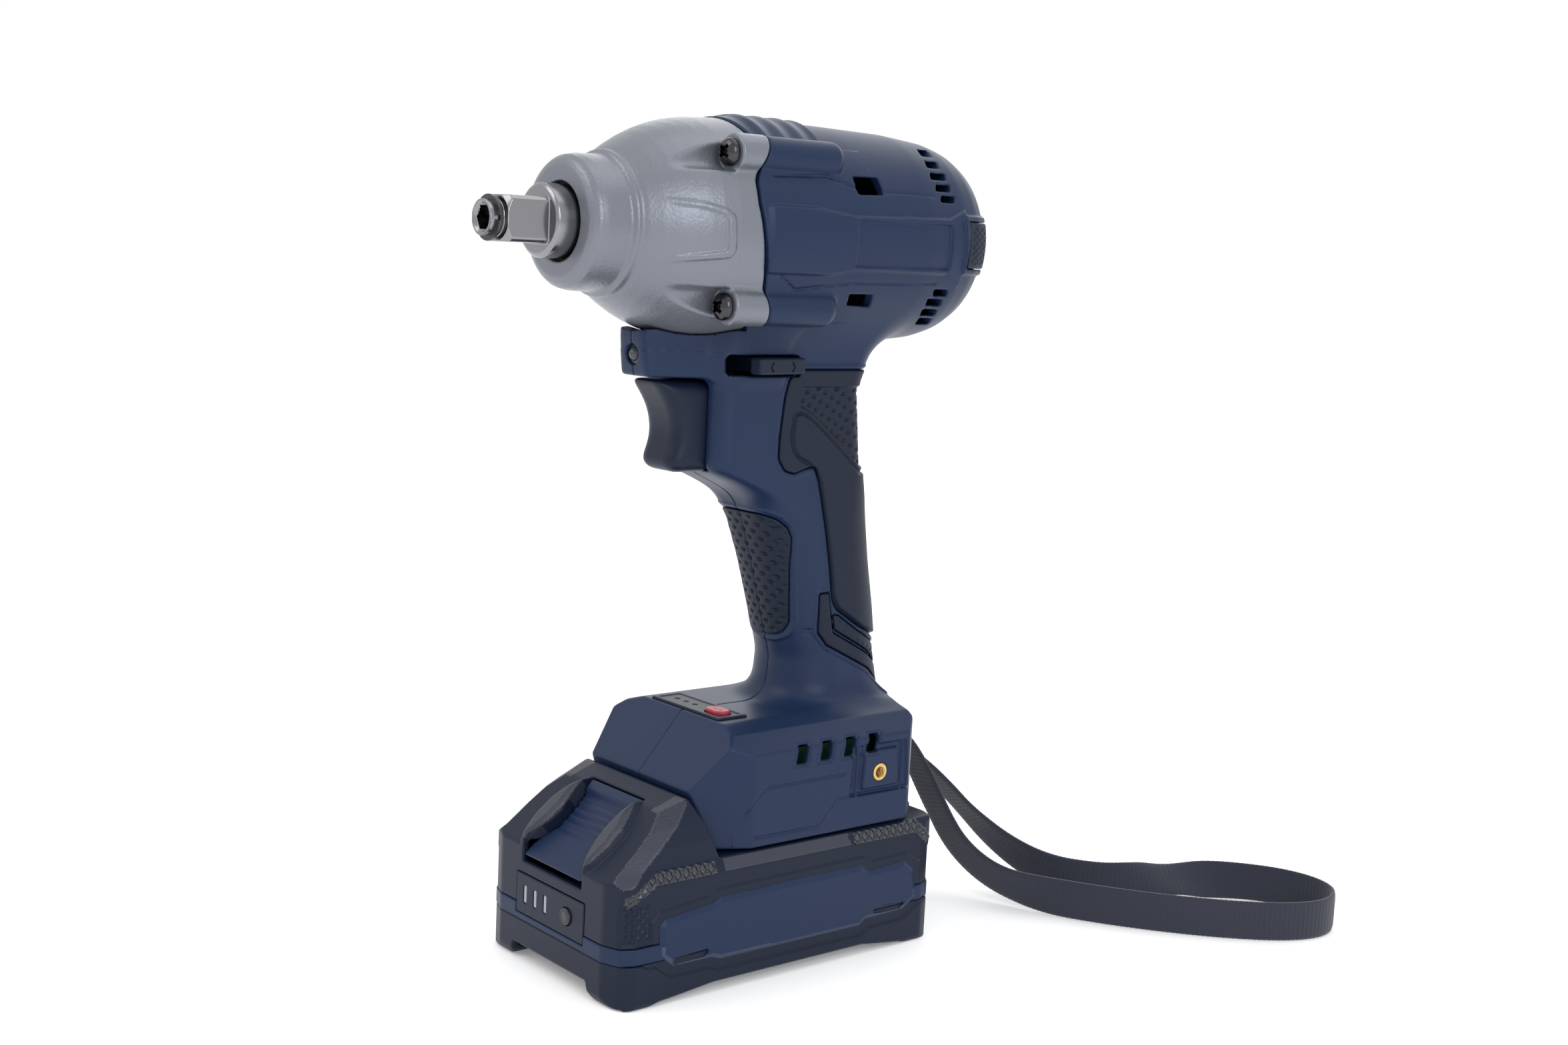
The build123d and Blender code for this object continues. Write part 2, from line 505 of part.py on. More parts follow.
def make_battery():
    seats = [rod_z(3.4, x, y, 0, 4) for x, y in PACK_SCREWS]
    bottom = pack_ring(1, BAND_Z0) - pack_ring(3.2, BAND_Z0 + 1, PACK_WALL)
    for x in (-28, 28):
        for y in (-54, 49):
            bottom += box(x - 6, x + 6, y - 8, y + 8, 0, 1.5)
    for (x, y), seat in zip(PACK_SCREWS, seats):
        bottom += rod_z(3.9, x, y, 1, BAND_Z0)
        bottom -= seat + rod_z(1.6, x, y, 0, 20)
    save("battery_bottom_case", bottom)

    panel_front = box(-18, 18, -70, -63.5, 15.1, 27.6)
    band = pack_ring(BAND_Z0, BAND_Z1) - pack_ring(BAND_Z0 - 1, BAND_Z1 + 1, PACK_WALL)
    save("battery_band", band - panel_front)

    top = pack_ring(BAND_Z1, PACK_TOP) - pack_ring(BAND_Z1 - 1, PACK_TOP - 2.4, PACK_WALL)
    ridge = [(-63.8, 36.8), (RIDGE_Y, RIDGE_Z), (-34.8, 56.7), (-27.8, 40), (-27.8, 36.8)]
    top += prism_x(ridge, -25.8, 25.8)
    top += box(-17.5, 17.5, -30, 37.4, 39, 46) + box(-21.5, 21.5, -30, 37.4, 45.3, 51)
    top -= slope_box(-12, 12, 2.4, 29.8, -5, 6)
    top -= box(-14.5, 14.5, -48, -31, 30, 42)
    for x, y in PACK_SCREWS:
        top += rod_z(3.4, x, y, BAND_Z0, 38)
        top -= rod_z(1.5, x, y, BAND_Z0 - 1, 25)
    for x in (-12, -4, 4, 12):
        top -= box(x - 1.4, x + 1.4, 25, 38, 46.4, 52)
    save("battery_top_case", top - panel_front - rod_y(2.75, -66, -61, 9, 21.3))
    clips = [box(x + s - 0.25, x + s + 0.25, 27, 36, 46.4, 50.6) for x in (-12, -4, 4, 12) for s in (-0.75, 0.75)]
    save("battery_clips", group(clips))

    button = slope_box(-11.5, 11.5, 2.9, 23.6, -4.6, -1.6)
    ribs = [slope_box(-10.5, 10.5, 9.0 + 2.5 * i, 10.2 + 2.5 * i, -1.6, -1.1) for i in range(5)]
    for rib in ribs:
        button += rib
    save("battery_release", button)
    save("release_spring", group([slope_box(-2.2, 2.2, 23.8, 29.4, -4.4, -3.0)]))

    face = box(-17.9, 17.9, -65.0, -63.5, 15.2, 27.5) - rod_y(2.75, -70, -60, 9, 21.3)
    lights = [box(x - 0.8, x + 0.8, -64.9, -63.5, 18.7, 24.1) for x in (-13.4, -8, -2.6)]
    for light in lights:
        face -= light
    save("gauge_panel", face)
    save("gauge_lights", group(lights))
    save("gauge_button", rod_y(2.6, -65.9, -63.2, 9, 21.3))

    side = [(-48, 12), (-48.5, 25.8), (-31, 28.4), (26, 28.6), (30, 26.8), (45, 27.4), (49.6, 23.9), (51, 14),
               (45.4, 10.5), (27.3, 8.6), (-28, 8.7)]
    panels = [prism_x(side, PACK_SIDE, PACK_X), prism_x(side, -PACK_X, -PACK_SIDE)]
    save("battery_side_panels", group(panels))
    save("battery_screws", group([Pos(x, y, 4) * Rot(180, 0, 0) * screw(2.9, 1.9, 1.5, 19.5) for x, y in PACK_SCREWS]))

    ys = [-2.3 + CELL_PITCH * k for k in (-2, -1, 0, 1, 2)]
    save("battery_cells", group([rod_x(CELL_R, -CELL_LEN / 2, CELL_LEN / 2, y, 14.2) for y in ys]))
    frames = []
    for s in (-1, 1):
        frame = box(min(s * 20, s * 30), max(s * 20, s * 30), ys[0] - 9.4, ys[-1] + 9.4, 4.4, 24)
        for y in ys:
            frame -= rod_x(CELL_R + RUN, -40, 40, y, 14.2)
        frames.append(frame)
    save("battery_cell_frames", group(frames))
    save("battery_board", box(-22, 22, -45, 34, 26, 27.6))


# ---- Strap ----
def make_strap():
    points = [Vector(*p) for p in STRAP_ROUTE]
    radii = []
    for before, at, after in zip(points, points[1:], points[2:]):
        shorter = min((at - before).length, (after - at).length)
        turn = (at - before).get_angle(after - at)
        radii.append(0.45 * shorter / tan(radians(turn) / 2))
    path = FilletPolyline(*points, radius=radii)
    print("strap radii", [round(r, 1) for r in radii], "length", round(path.length, 1))
    section = Plane(path @ 0, z_dir=path % 0) * Circle(STRAP_TUBE_R)
    strap = sweep(section, path=path)
    print("strap volume", round(strap.volume), "of", round(pi * STRAP_TUBE_R ** 2 * path.length))
    save("wrist_strap", strap)
    save("strap_bar", rod_x(1.5, -10, 10, 47.85, 62))


os.makedirs("parts", exist_ok=True)
make_housing()
make_hammer_case()
make_anvil()
make_hammer()
make_spindle()
make_gears()
make_motor()
make_controls()
make_battery()
make_strap()
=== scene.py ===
"""Looks of the cordless impact wrench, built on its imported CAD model.

Housings, grips, case and battery are solids given by signed distance fields, in millimetres, which are
then meshed. Fields use the CAD's drawing frame: y runs along the head from its own zero, SHIFT behind
the row frame's, and x, z are the row frame's.
"""
import json
import math
from concurrent.futures import ThreadPoolExecutor
from functools import reduce

import bpy
import numpy as np
from mathutils import Matrix, Vector
from numpy import hypot, maximum, minimum


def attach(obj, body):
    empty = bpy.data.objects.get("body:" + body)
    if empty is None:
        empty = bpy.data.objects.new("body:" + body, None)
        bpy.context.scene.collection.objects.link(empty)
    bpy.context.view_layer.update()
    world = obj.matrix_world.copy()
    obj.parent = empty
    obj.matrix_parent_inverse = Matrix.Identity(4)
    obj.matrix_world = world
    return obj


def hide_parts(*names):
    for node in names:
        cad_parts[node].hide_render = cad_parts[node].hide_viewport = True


SHIFT = 5.5              # row frame y = drawing y + SHIFT, in millimetres
AXIS = 221.0             # height of the head's axis
BLOCK = 8                # cells along each side of a coarse block
DIAGONAL = 0.7071        # cosine of 45 degrees
BOSS_X, BOSS_Z = 25.2, 21.6      # a case screw beside the head's axis, and above or below it
LAMP_Z = 184.2                   # height of the lamp
LEVER_Y, LEVER_Z = -6.0, 182     # the direction lever's pivot, and its middle's height
PANEL_Y = -12.5                  # the row of lights and the button on the control panel
HOOK_Y, HOOK_Z = 33.6, 57.1      # the hook inserts

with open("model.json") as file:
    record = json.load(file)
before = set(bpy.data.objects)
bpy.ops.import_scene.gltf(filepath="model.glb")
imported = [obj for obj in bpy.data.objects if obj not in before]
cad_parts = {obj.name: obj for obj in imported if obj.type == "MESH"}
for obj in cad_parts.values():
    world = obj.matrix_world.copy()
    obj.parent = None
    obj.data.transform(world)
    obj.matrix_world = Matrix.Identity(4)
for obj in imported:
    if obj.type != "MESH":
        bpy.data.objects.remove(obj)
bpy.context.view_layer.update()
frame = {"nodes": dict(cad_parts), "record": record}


# ---- Camera ----
def make_camera():
    turn, pitch, roll = math.radians(50.1), math.radians(7.92), math.radians(2.8)
    right = Vector((math.cos(turn), math.sin(turn), 0))
    ahead = Vector((-math.sin(turn) * math.cos(pitch), math.cos(turn) * math.cos(pitch), -math.sin(pitch)))
    up = right.cross(ahead)
    across = right * math.cos(roll) + up * math.sin(roll)
    upward = up * math.cos(roll) - right * math.sin(roll)
    data = bpy.data.cameras.new("camera")
    data.sensor_width, data.lens = 36.0, 44.587
    data.clip_start, data.clip_end = 0.02, 50
    camera = bpy.data.objects.new("camera", data)
    bpy.context.scene.collection.objects.link(camera)
    turned = Matrix((across, upward, -ahead)).transposed().to_4x4()
    camera.matrix_world = Matrix.Translation((0.46272, -0.36337, 0.21551)) @ turned
    bpy.context.scene.camera = camera


make_camera()


# ---- Materials ----
def material(name, colour, rough, metal=0, grain=0, grain_size=0.3, spread=0, inputs=None):
    """A plain shader with a fine moulded or painted grain.

    grain is the height of its bump and grain_size its width, in millimetres. spread varies the roughness.
    """
    m = bpy.data.materials.new(name)
    m.use_nodes = True
    nodes, links = m.node_tree.nodes, m.node_tree.links
    shader = nodes["Principled BSDF"]
    values = {"Base Color": (*colour, 1), "Roughness": rough, "Metallic": metal, **(inputs or {})}
    for key, value in values.items():
        shader.inputs[key].default_value = value
    if grain or spread:
        coordinates = nodes.new("ShaderNodeTexCoord")
        noise = nodes.new("ShaderNodeTexNoise")
        noise.inputs["Scale"].default_value = 1000 / grain_size
        noise.inputs["Detail"].default_value = 2.0
        links.new(coordinates.outputs["Object"], noise.inputs["Vector"])
        if grain:
            bump = nodes.new("ShaderNodeBump")
            bump.inputs["Strength"].default_value = 1.0
            bump.inputs["Distance"].default_value = grain / 1000
            links.new(noise.outputs["Fac"], bump.inputs["Height"])
            links.new(bump.outputs["Normal"], shader.inputs["Normal"])
        if spread:
            span = nodes.new("ShaderNodeMapRange")
            span.inputs["To Min"].default_value = max(rough - spread, 0.02)
            span.inputs["To Max"].default_value = min(rough + spread, 1.0)
            links.new(noise.outputs["Fac"], span.inputs["Value"])
            links.new(span.outputs["Result"], shader.inputs["Roughness"])
    return m


LOOKS = {  # colour, roughness, metallic, grain's height and width, spread of the roughness, other inputs
    "navy_plastic": ((0.0085, 0.0195, 0.0545), 0.40, 0, 0.035, 0.6, 0, {"Specular IOR Level": 0.21}),
    "black_plastic": ((0.0045, 0.0088, 0.0240), 0.42, 0, 0.04, 0.6, 0, {"Specular IOR Level": 0.22}),
    "silver_paint": ((0.165, 0.177, 0.207), 0.34, 0.5, 0.10, 0.8, 0.12),
    "steel": ((0.25, 0.25, 0.265), 0.22, 1, 0.006, 0.5, 0.08),
    "dark_steel": ((0.07, 0.07, 0.075), 0.36, 1, 0.01, 0.6),
    "screw_steel": ((0.06, 0.06, 0.066), 0.2, 1, 0.01, 0.6),
    "brass": ((0.62, 0.42, 0.16), 0.28, 1, 0.006, 0.5),
    # bronze is darkened far below bronze's own colour as painted shade, so that the bushing reads as a dark
    # gap
    "bronze": ((0.030, 0.022, 0.016), 0.55, 1, 0.01, 0.5),
    "copper_wire": ((0.55, 0.22, 0.09), 0.35, 1, 0.03, 0.5),
    "rubber": ((0.0055, 0.0098, 0.0235), 0.52, 0, 0.03, 0.45, 0, {"Specular IOR Level": 0.22}),
    "soft_ring": ((0.010, 0.010, 0.011), 0.42, 0, 0.004, 0.5),
    "red_plastic": ((0.30, 0.016, 0.030), 0.4, 0, 0.01, 0.6),
    "clear_lens": ((0.10, 0.11, 0.13), 0.06, 0, 0.004, 0.3, 0, {"Transmission Weight": 0.6, "IOR": 1.45}),
    "light_pipe": ((0.25, 0.27, 0.32), 0.3, 0, 0.006, 0.5),
    "white_plastic": ((0.014, 0.016, 0.024), 0.35, 0, 0.006, 0.5),
    "board": ((0.010, 0.075, 0.035), 0.35, 0, 0.01, 0.8),
    "cell_wrap": ((0.04, 0.18, 0.28), 0.3, 0, 0.004, 0.6),
    "magnet": ((0.45, 0.45, 0.47), 0.25, 1, 0.004, 0.5),
    "spark_black": ((0.016, 0.020, 0.036), 0.36, 0, 0.16, 0.55, 0.1),
    "spark_navy": ((0.018, 0.032, 0.072), 0.40, 0, 0.14, 0.55, 0.1),
    "gloss_black": ((0.010, 0.013, 0.022), 0.16, 0, 0.004, 0.3, 0, {"Specular IOR Level": 0.6}),
    "webbing": ((0.013, 0.016, 0.032), 0.85, 0, 0.08, 0.45, 0, {"Sheen Weight": 0.2}),
}
MATERIALS = {name: material(name, *look) for name, look in LOOKS.items()}
for part in frame["record"]["subparts"]:
    frame["nodes"][part["node"]].data.materials.clear()
    frame["nodes"][part["node"]].data.materials.append(MATERIALS[part["material_slot"]])
SLOTS = {part["node"]: part["material_slot"] for part in frame["record"]["subparts"]}
BODIES = {node: body for body, nodes in frame["record"]["behaviour"]["bodies"].items() for node in nodes}


def place(obj, nodes):
    """A piece rides on its nodes' body, stands for them and takes their finish."""
    obj.data.materials.append(MATERIALS[SLOTS[nodes[0]]])
    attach(obj, BODIES[nodes[0]])
    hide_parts(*nodes)


def new_mesh(name, points, faces, normals=None):
    """A mesh of quads from arrays, in metres, with smooth shading."""
    mesh = bpy.data.meshes.new(name)
    faces = np.asarray(faces, np.int32)
    mesh.vertices.add(len(points))
    mesh.vertices.foreach_set("co", np.asarray(points, np.float32).ravel())
    mesh.loops.add(faces.size)
    mesh.loops.foreach_set("vertex_index", faces.ravel())
    mesh.polygons.add(len(faces))
    mesh.polygons.foreach_set("loop_start", np.arange(0, faces.size, faces.shape[1], dtype=np.int32))
    mesh.polygons.foreach_set("use_smooth", np.ones(len(faces), bool))
    mesh.update(calc_edges=True)
    mesh.validate()
    if normals is not None:
        mesh.normals_split_custom_set_from_vertices(np.asarray(normals, np.float32))
    obj = bpy.data.objects.new(name, mesh)
    bpy.context.scene.collection.objects.link(obj)
    return obj


# ---- Strap: the CAD's route, with the webbing standing on its edge along it ----
STRAP_ROUTE = [
    (1, 51.5, 65.5), (1.5, 60, 65), (2.5, 69, 59.5), (4.5, 77.5, 47.5), (7.5, 84.5, 32.5), (13, 90.5, 18.5),
    (24, 97, 9.5), (38, 104, 6.6), (56, 113.5, 6.5), (74, 126, 6.5), (90, 140, 6.5), (102.5, 155, 6.5),
    (107, 169, 6.5), (103, 181, 6.5), (92, 187, 6.5), (78, 185, 6.5), (64.5, 175.5, 6.5), (54, 160.5, 6.5),
    (47.5, 144.5, 6.5), (40, 130, 7), (29.5, 118, 9.5), (17.5, 108.5, 17), (8, 98.5, 29), (2, 86.5, 43),
    (-0.5, 74, 53), (-1, 62.5, 58), (-1, 51.5, 58.5),
]
STRAP_WIDTH, STRAP_THICK = 12.6, 1.6
STRAP_STEP, RIB_PITCH = 0.55, 1.65
STRAP_COLUMNS = 21       # points across each face


def strap_line():
    """Points of the route's own smooth curve, in millimetres in the row frame."""
    curve = bpy.data.curves.new("strap_line", "CURVE")
    curve.dimensions = "3D"
    curve.resolution_u = 24
    spline = curve.splines.new("NURBS")
    spline.points.add(len(STRAP_ROUTE) - 1)
    for point, (x, y, z) in zip(spline.points, STRAP_ROUTE):
        point.co = (x / 1000, (y + SHIFT) / 1000, z / 1000, 1)
    spline.order_u = 3
    spline.use_endpoint_u = True
    holder = bpy.data.objects.new("strap_line", curve)
    bpy.context.scene.collection.objects.link(holder)
    mesh = bpy.data.meshes.new_from_object(holder)
    line = np.array([v.co for v in mesh.vertices], float) * 1000
    bpy.data.objects.remove(holder)
    return line


def unit(vectors):
    return vectors / np.linalg.norm(vectors, axis=1)[:, None]


def make_strap():
    line = strap_line()
    runs = np.linalg.norm(np.diff(line, axis=0), axis=1)
    along = np.concatenate([[0], np.cumsum(runs)])
    length = along[-1]
    count = int(length / STRAP_STEP)
    s = np.linspace(0, length, count)
    centre = np.stack([np.interp(s, along, line[:, i]) for i in range(3)], 1)
    tangent = unit(np.gradient(centre, axis=0))
    # Across the webbing: flat through the slot in the foot, on edge along the floor, with one twist.
    share = s / length
    edge = np.clip(minimum((share - 0.13) / 0.14, (0.87 - share) / 0.14), 0, 1)
    edge = edge * edge * (3 - 2 * edge)
    twist = 0.95 * np.exp(-((share - 0.66) / 0.035) ** 2)
    angle = edge * (math.pi / 2) + twist
    flat = np.cross(tangent, (0, 0, 1))
    flat[np.linalg.norm(flat, axis=1) < 0.05] = (1, 0, 0)
    flat = unit(flat)
    flat = np.where(flat[:, :1] < 0, -flat, flat)
    level = unit(np.array([1.0, 0, 0]) - tangent * tangent[:, :1])
    base = level * (1 - edge)[:, None] + flat * edge[:, None]
    base = unit(base - tangent * (base * tangent).sum(1)[:, None])
    rise = np.cross(tangent, base)
    rise = np.where((rise[:, 2] < 0)[:, None], -rise, rise)
    across = base * np.cos(angle)[:, None] + rise * np.sin(angle)[:, None]
    out = np.cross(tangent, across)
    # Woven section: ribs across, a flatter selvedge at both edges.
    u = np.linspace(-1, 1, STRAP_COLUMNS)
    rib = 0.5 + 0.5 * np.cos(2 * math.pi * s / RIB_PITCH)
    body = np.where(abs(u) > 0.86, 0.25, 1.0)
    half = STRAP_THICK / 2 * (1 - 0.35 * abs(u) ** 6)
    swell = half[None, :] * (0.72 + 0.28 * rib[:, None] * body[None, :])
    place_u = u[None, :] * STRAP_WIDTH / 2 * (1 + 0.012 * rib[:, None])
    middle = centre[:, None] + across[:, None] * place_u[..., None]
    front = middle + out[:, None] * swell[..., None]
    back = middle - out[:, None] * swell[..., None]
    ring = np.concatenate([front, back[:, ::-1]], 1)
    ring[..., 2] = maximum(ring[..., 2], 0.05)
    n = ring.shape[1]
    i, j = np.meshgrid(np.arange(count - 1), np.arange(n), indexing="ij")
    a, b = i * n + j, i * n + (j + 1) % n
    faces = np.stack([a, b, b + n, a + n], -1).reshape(-1, 4)
    obj = new_mesh("wrist_strap_webbing", ring.reshape(-1, 3) / 1000, faces)
    place(obj, ["wrist_strap"])


make_strap()


# ---- Fields ----
def smin(a, b, k):
    h = np.clip(0.5 + 0.5 * (b - a) / k, 0, 1)
    return b + (a - b) * h - k * h * (1 - h)


def smax(a, b, k):
    return -smin(-a, -b, k)


def join(k, *parts):
    return reduce(lambda a, b: smin(a, b, k), parts)


def meet(k, *parts):
    return reduce(lambda a, b: smax(a, b, k), parts)


def common(*parts):
    """What all the parts share, with sharp edges."""
    return reduce(maximum, parts)


def ease(t):
    t = np.clip(t, 0, 1)
    return t * t * (3 - 2 * t)


def inside(outline_distance, soft=0.5):
    """1 well inside an outline, 0 outside, with a soft edge."""
    return ease(0.5 - outline_distance / (2 * soft))


def slab(v, low, high):
    return abs(v - (low + high) / 2) - (high - low) / 2


def brick(x, y, z, low, high, r=0.5):
    q = [abs(v - (a + b) / 2) - (b - a) / 2 + r for v, a, b in zip((x, y, z), low, high)]
    outer = np.sqrt(sum(maximum(v, 0) ** 2 for v in q))
    return outer + minimum(common(*q), 0) - r


def disc(u, v, w, r, low, high, k=0.4):
    """A rod of radius r about u = v = 0, from low to high along w."""
    return smax(hypot(u, v) - r, slab(w, low, high), k)


def tube(r, outer, inner, along):
    return common(r - outer, along, inner - r)


def mirrored(*points):
    """The points, then their mirror images from the last back to the first."""
    return [*points, *((-u, v) for u, v in reversed(points))]


class Outline:
    """Signed distance to a polygon, kept on a grid; soft rounds its corners by about as many millimetres."""

    def __init__(self, points, soft=0.8, step=0.25, pad=7.0):
        corners = np.array(points, float)
        self.low, high = corners.min(0) - pad, corners.max(0) + pad
        self.step = step
        self.count = np.ceil((high - self.low) / step).astype(int) + 1
        u = self.low[0] + step * np.arange(self.count[0])
        v = self.low[1] + step * np.arange(self.count[1])
        u, v = np.meshgrid(u, v, indexing="ij")
        nearest = np.full(u.shape, 1e9)
        within = np.zeros(u.shape, bool)
        for (ax, ay), (bx, by) in zip(corners, np.roll(corners, -1, 0)):
            ex, ey = bx - ax, by - ay
            t = np.clip(((u - ax) * ex + (v - ay) * ey) / (ex * ex + ey * ey), 0, 1)
            nearest = minimum(nearest, hypot(u - ax - t * ex, v - ay - t * ey))
            if ey != 0:
                crosses = ((ay > v) != (by > v)) & (u < (v - ay) * ex / ey + ax)
                within ^= crosses
        grid = np.where(within, -nearest, nearest)
        width = int(soft / step)
        if width > 1:
            kernel = np.ones(width + 1 - width % 2)
            kernel /= kernel.sum()
            for _ in range(2):
                for axis in (0, 1):
                    edge = len(kernel) // 2
                    spread = [(edge, edge) if a == axis else (0, 0) for a in (0, 1)]
                    wide = np.pad(grid, spread, mode="edge")
                    total = np.cumsum(wide, axis)
                    total = np.concatenate([np.zeros_like(total.take([0], axis)), total], axis)
                    size = grid.shape[axis]
                    upper = total.take(np.arange(len(kernel), len(kernel) + size), axis)
                    grid = (upper - total.take(np.arange(size), axis)) / len(kernel)
        self.grid = grid.astype(np.float32)

    def __call__(self, u, v):
        a = (u - self.low[0]) / self.step
        b = (v - self.low[1]) / self.step
        ca = np.clip(a, 0, self.count[0] - 1.001)
        cb = np.clip(b, 0, self.count[1] - 1.001)
        i, j = ca.astype(np.int32), cb.astype(np.int32)
        fa, fb = ca - i, cb - j
        flat = self.grid.ravel()
        k = i * self.count[1] + j
        low = flat[k] * (1 - fb) + flat[k + 1] * fb
        high = flat[k + self.count[1]] * (1 - fb) + flat[k + self.count[1] + 1] * fb
        beyond = hypot(a - ca, b - cb) * self.step
        return low * (1 - fa) + high * fa + beyond


def smooth_table(rows, low, high, width):
    """Rows of (place, values...) as evenly spaced columns, smoothed over a width."""
    rows = np.array(rows, float)
    places = np.arange(low, high, 0.5)
    kernel = np.hanning(int(width / 0.5) | 1)
    kernel /= kernel.sum()
    half = len(kernel) // 2
    columns = []
    for i in range(1, rows.shape[1]):
        column = np.interp(places, rows[:, 0], rows[:, i])
        columns.append(np.convolve(np.pad(column, half, mode="edge"), kernel, "valid"))
    return places, columns


# ---- Meshing ----
def evaluate(field, points, size=60000):
    chunks = [points[i:i + size] for i in range(0, len(points), size)]
    with ThreadPoolExecutor(4) as pool:
        return np.concatenate(list(pool.map(lambda p: field(p[:, 0], p[:, 1], p[:, 2]), chunks)))


def slope(field, points, eps=0.06):
    """The field's value and gradient."""
    corners = np.array([(1, -1, -1), (-1, -1, 1), (-1, 1, -1), (1, 1, 1)], np.float32)
    values = [evaluate(field, points + eps * c) for c in corners]
    gradient = sum(v[:, None] * c for v, c in zip(values, corners)) / (4 * eps)
    return sum(values) / 4, gradient


def surface(field, low, high, step):
    """Points, normals and quads of the field's zero surface inside a box."""
    low = np.array(low, float) - 1.5 * step
    blocks = np.ceil((np.array(high, float) + 1.5 * step - low) / (step * BLOCK)).astype(int)
    grid = [low[a] + step * BLOCK * (np.arange(blocks[a]) + 0.5) for a in range(3)]
    centres = np.stack(np.meshgrid(*grid, indexing="ij"), -1).reshape(-1, 3).astype(np.float32)
    rough = evaluate(field, centres)
    near = np.nonzero(abs(rough) < 0.5 * math.sqrt(3) * BLOCK * step * 1.35 + 0.7)[0]
    values = np.repeat(np.where(rough < 0, -9.0, 9.0).astype(np.float32), BLOCK ** 3).reshape(-1, BLOCK ** 3)
    cell = (np.arange(BLOCK) + 0.5 - BLOCK / 2) * step
    cells = np.stack(np.meshgrid(cell, cell, cell, indexing="ij"), -1).reshape(-1, 3).astype(np.float32)
    fine = (centres[near][:, None] + cells[None]).reshape(-1, 3)
    values[near] = evaluate(field, fine).reshape(-1, BLOCK ** 3)
    values = values.reshape(*blocks, BLOCK, BLOCK, BLOCK).transpose(0, 3, 1, 4, 2, 5)
    values = np.ascontiguousarray(values).reshape(blocks * BLOCK)
    origin = low + step * 0.5
    within = values < 0
    total = np.zeros(np.array(values.shape) - 1, np.int8)
    corners = [(i, j, k) for i in (0, 1) for j in (0, 1) for k in (0, 1)]
    for i, j, k in corners:
        total += within[i:total.shape[0] + i, j:total.shape[1] + j, k:total.shape[2] + k]
    mixed = (total > 0) & (total < 8)
    cell = np.stack(np.nonzero(mixed), 1)
    index = np.full(mixed.shape, -1, np.int32)
    index[mixed] = np.arange(len(cell), dtype=np.int32)
    at = {c: values[cell[:, 0] + c[0], cell[:, 1] + c[1], cell[:, 2] + c[2]] for c in corners}
    position = np.zeros((len(cell), 3))
    crossings = np.zeros(len(cell))
    for c in corners:
        for axis in range(3):
            if c[axis]:
                continue
            d = tuple(1 if a == axis else v for a, v in enumerate(c))
            cut = (at[c] < 0) != (at[d] < 0)
            t = np.where(cut, at[c] / np.where(cut, at[c] - at[d], 1), 0)
            for a in range(3):
                position[:, a] += cut * (c[a] + (t if a == axis else 0))
            crossings += cut
    points = (origin + step * (cell + position / crossings[:, None])).astype(np.float32)
    quads = []
    for axis in range(3):
        b, c = (axis + 1) % 3, (axis + 2) % 3
        ahead = [slice(0, -1) if a == axis else slice(1, -1) for a in range(3)]
        beyond = [slice(1, None) if a == axis else slice(1, -1) for a in range(3)]
        first, second = within[tuple(ahead)], within[tuple(beyond)]
        for start, flip in ((first & ~second, False), (second & ~first, True)):
            e = np.stack(np.nonzero(start), 1)
            e += [0 if a == axis else 1 for a in range(3)]
            ring = []
            for db, dc in ((1, 1), (0, 1), (0, 0), (1, 0)):
                at_cell = e.copy()
                at_cell[:, b] -= db
                at_cell[:, c] -= dc
                ring.append(index[at_cell[:, 0], at_cell[:, 1], at_cell[:, 2]])
            quad = np.stack(ring, 1)
            quads.append(quad[:, ::-1] if flip else quad)
    quads = np.concatenate(quads)
    quads = quads[(quads >= 0).all(1)]
    for _ in range(2):
        value, gradient = slope(field, points)
        size = maximum((gradient ** 2).sum(1), 0.05)
        move = np.clip(value / size, -0.6 * step, 0.6 * step)[:, None] * gradient
        points = (points - move).astype(np.float32)
    normals = slope(field, points)[1]
    normals /= maximum(np.linalg.norm(normals, axis=1), 1e-6)[:, None]
    return points, normals, quads


LARGEST = 95000          # quads in one mesh


def solid(name, field, low, high, step, nodes, zones=()):
    """Meshes a field and puts it in place of its CAD nodes, in several meshes if it is large.

    zones are (material, test) pairs: faces whose middle passes the test take that material instead.
    """
    points, normals, quads = surface(field, low, high, step)
    points = (points + (0, SHIFT, 0)) / 1000
    order = np.argsort(points[quads[:, 0], 2], kind="stable")
    count = max(1, math.ceil(len(quads) / LARGEST))
    for n, share in enumerate(np.array_split(quads[order], count)):
        used, faces = np.unique(share, return_inverse=True)
        label = name if count == 1 else f"{name}_{n + 1}"
        obj = new_mesh(label, points[used], faces.reshape(-1, 4), normals[used])
        place(obj, nodes)
        middle = points[share].mean(1) * 1000 - (0, SHIFT, 0)
        index = np.zeros(len(share), np.int32)
        for finish, test in zones:
            chosen = test(*middle.T)
            if chosen.any():
                obj.data.materials.append(MATERIALS[finish])
                index[chosen] = len(obj.data.materials) - 1
        obj.data.polygons.foreach_set("material_index", index)
    print(f"{name}: {len(quads)} quads in {count}")


# ---- Shared forms of the head, handle, foot and case ----
HEAD = Outline([
    (-40, -15), (-40, 33), (19, 33), (45, 32.4), (60, 31), (66, 29.5), (71, 27), (75.5, 22.2), (79, 17),
    (81.5, 10.5), (83, 0), (83, -15)], soft=2.0)
HEAD_ROOM = Outline([
    (-50, -15), (-50, 30), (45, 29.6), (60, 28.2), (66, 26.6), (70, 24), (72.5, 21), (72.5, -15)], soft=1.0)
CASE = Outline([
    (-69.5, -15), (-69.5, 15.6), (-68.8, 17.4), (-67.4, 18.6), (-65, 19.1), (-57.6, 19.4), (-56.6, 20.4),
    (-54.8, 20.8), (-53.6, 21.8), (-50, 24.2), (-46, 26.5), (-42, 28.4), (-38, 29.9), (-34, 31.0),
    (-29, 31.8), (-18, 32.5), (-5, 32.6), (-5, -15)], soft=0.7)
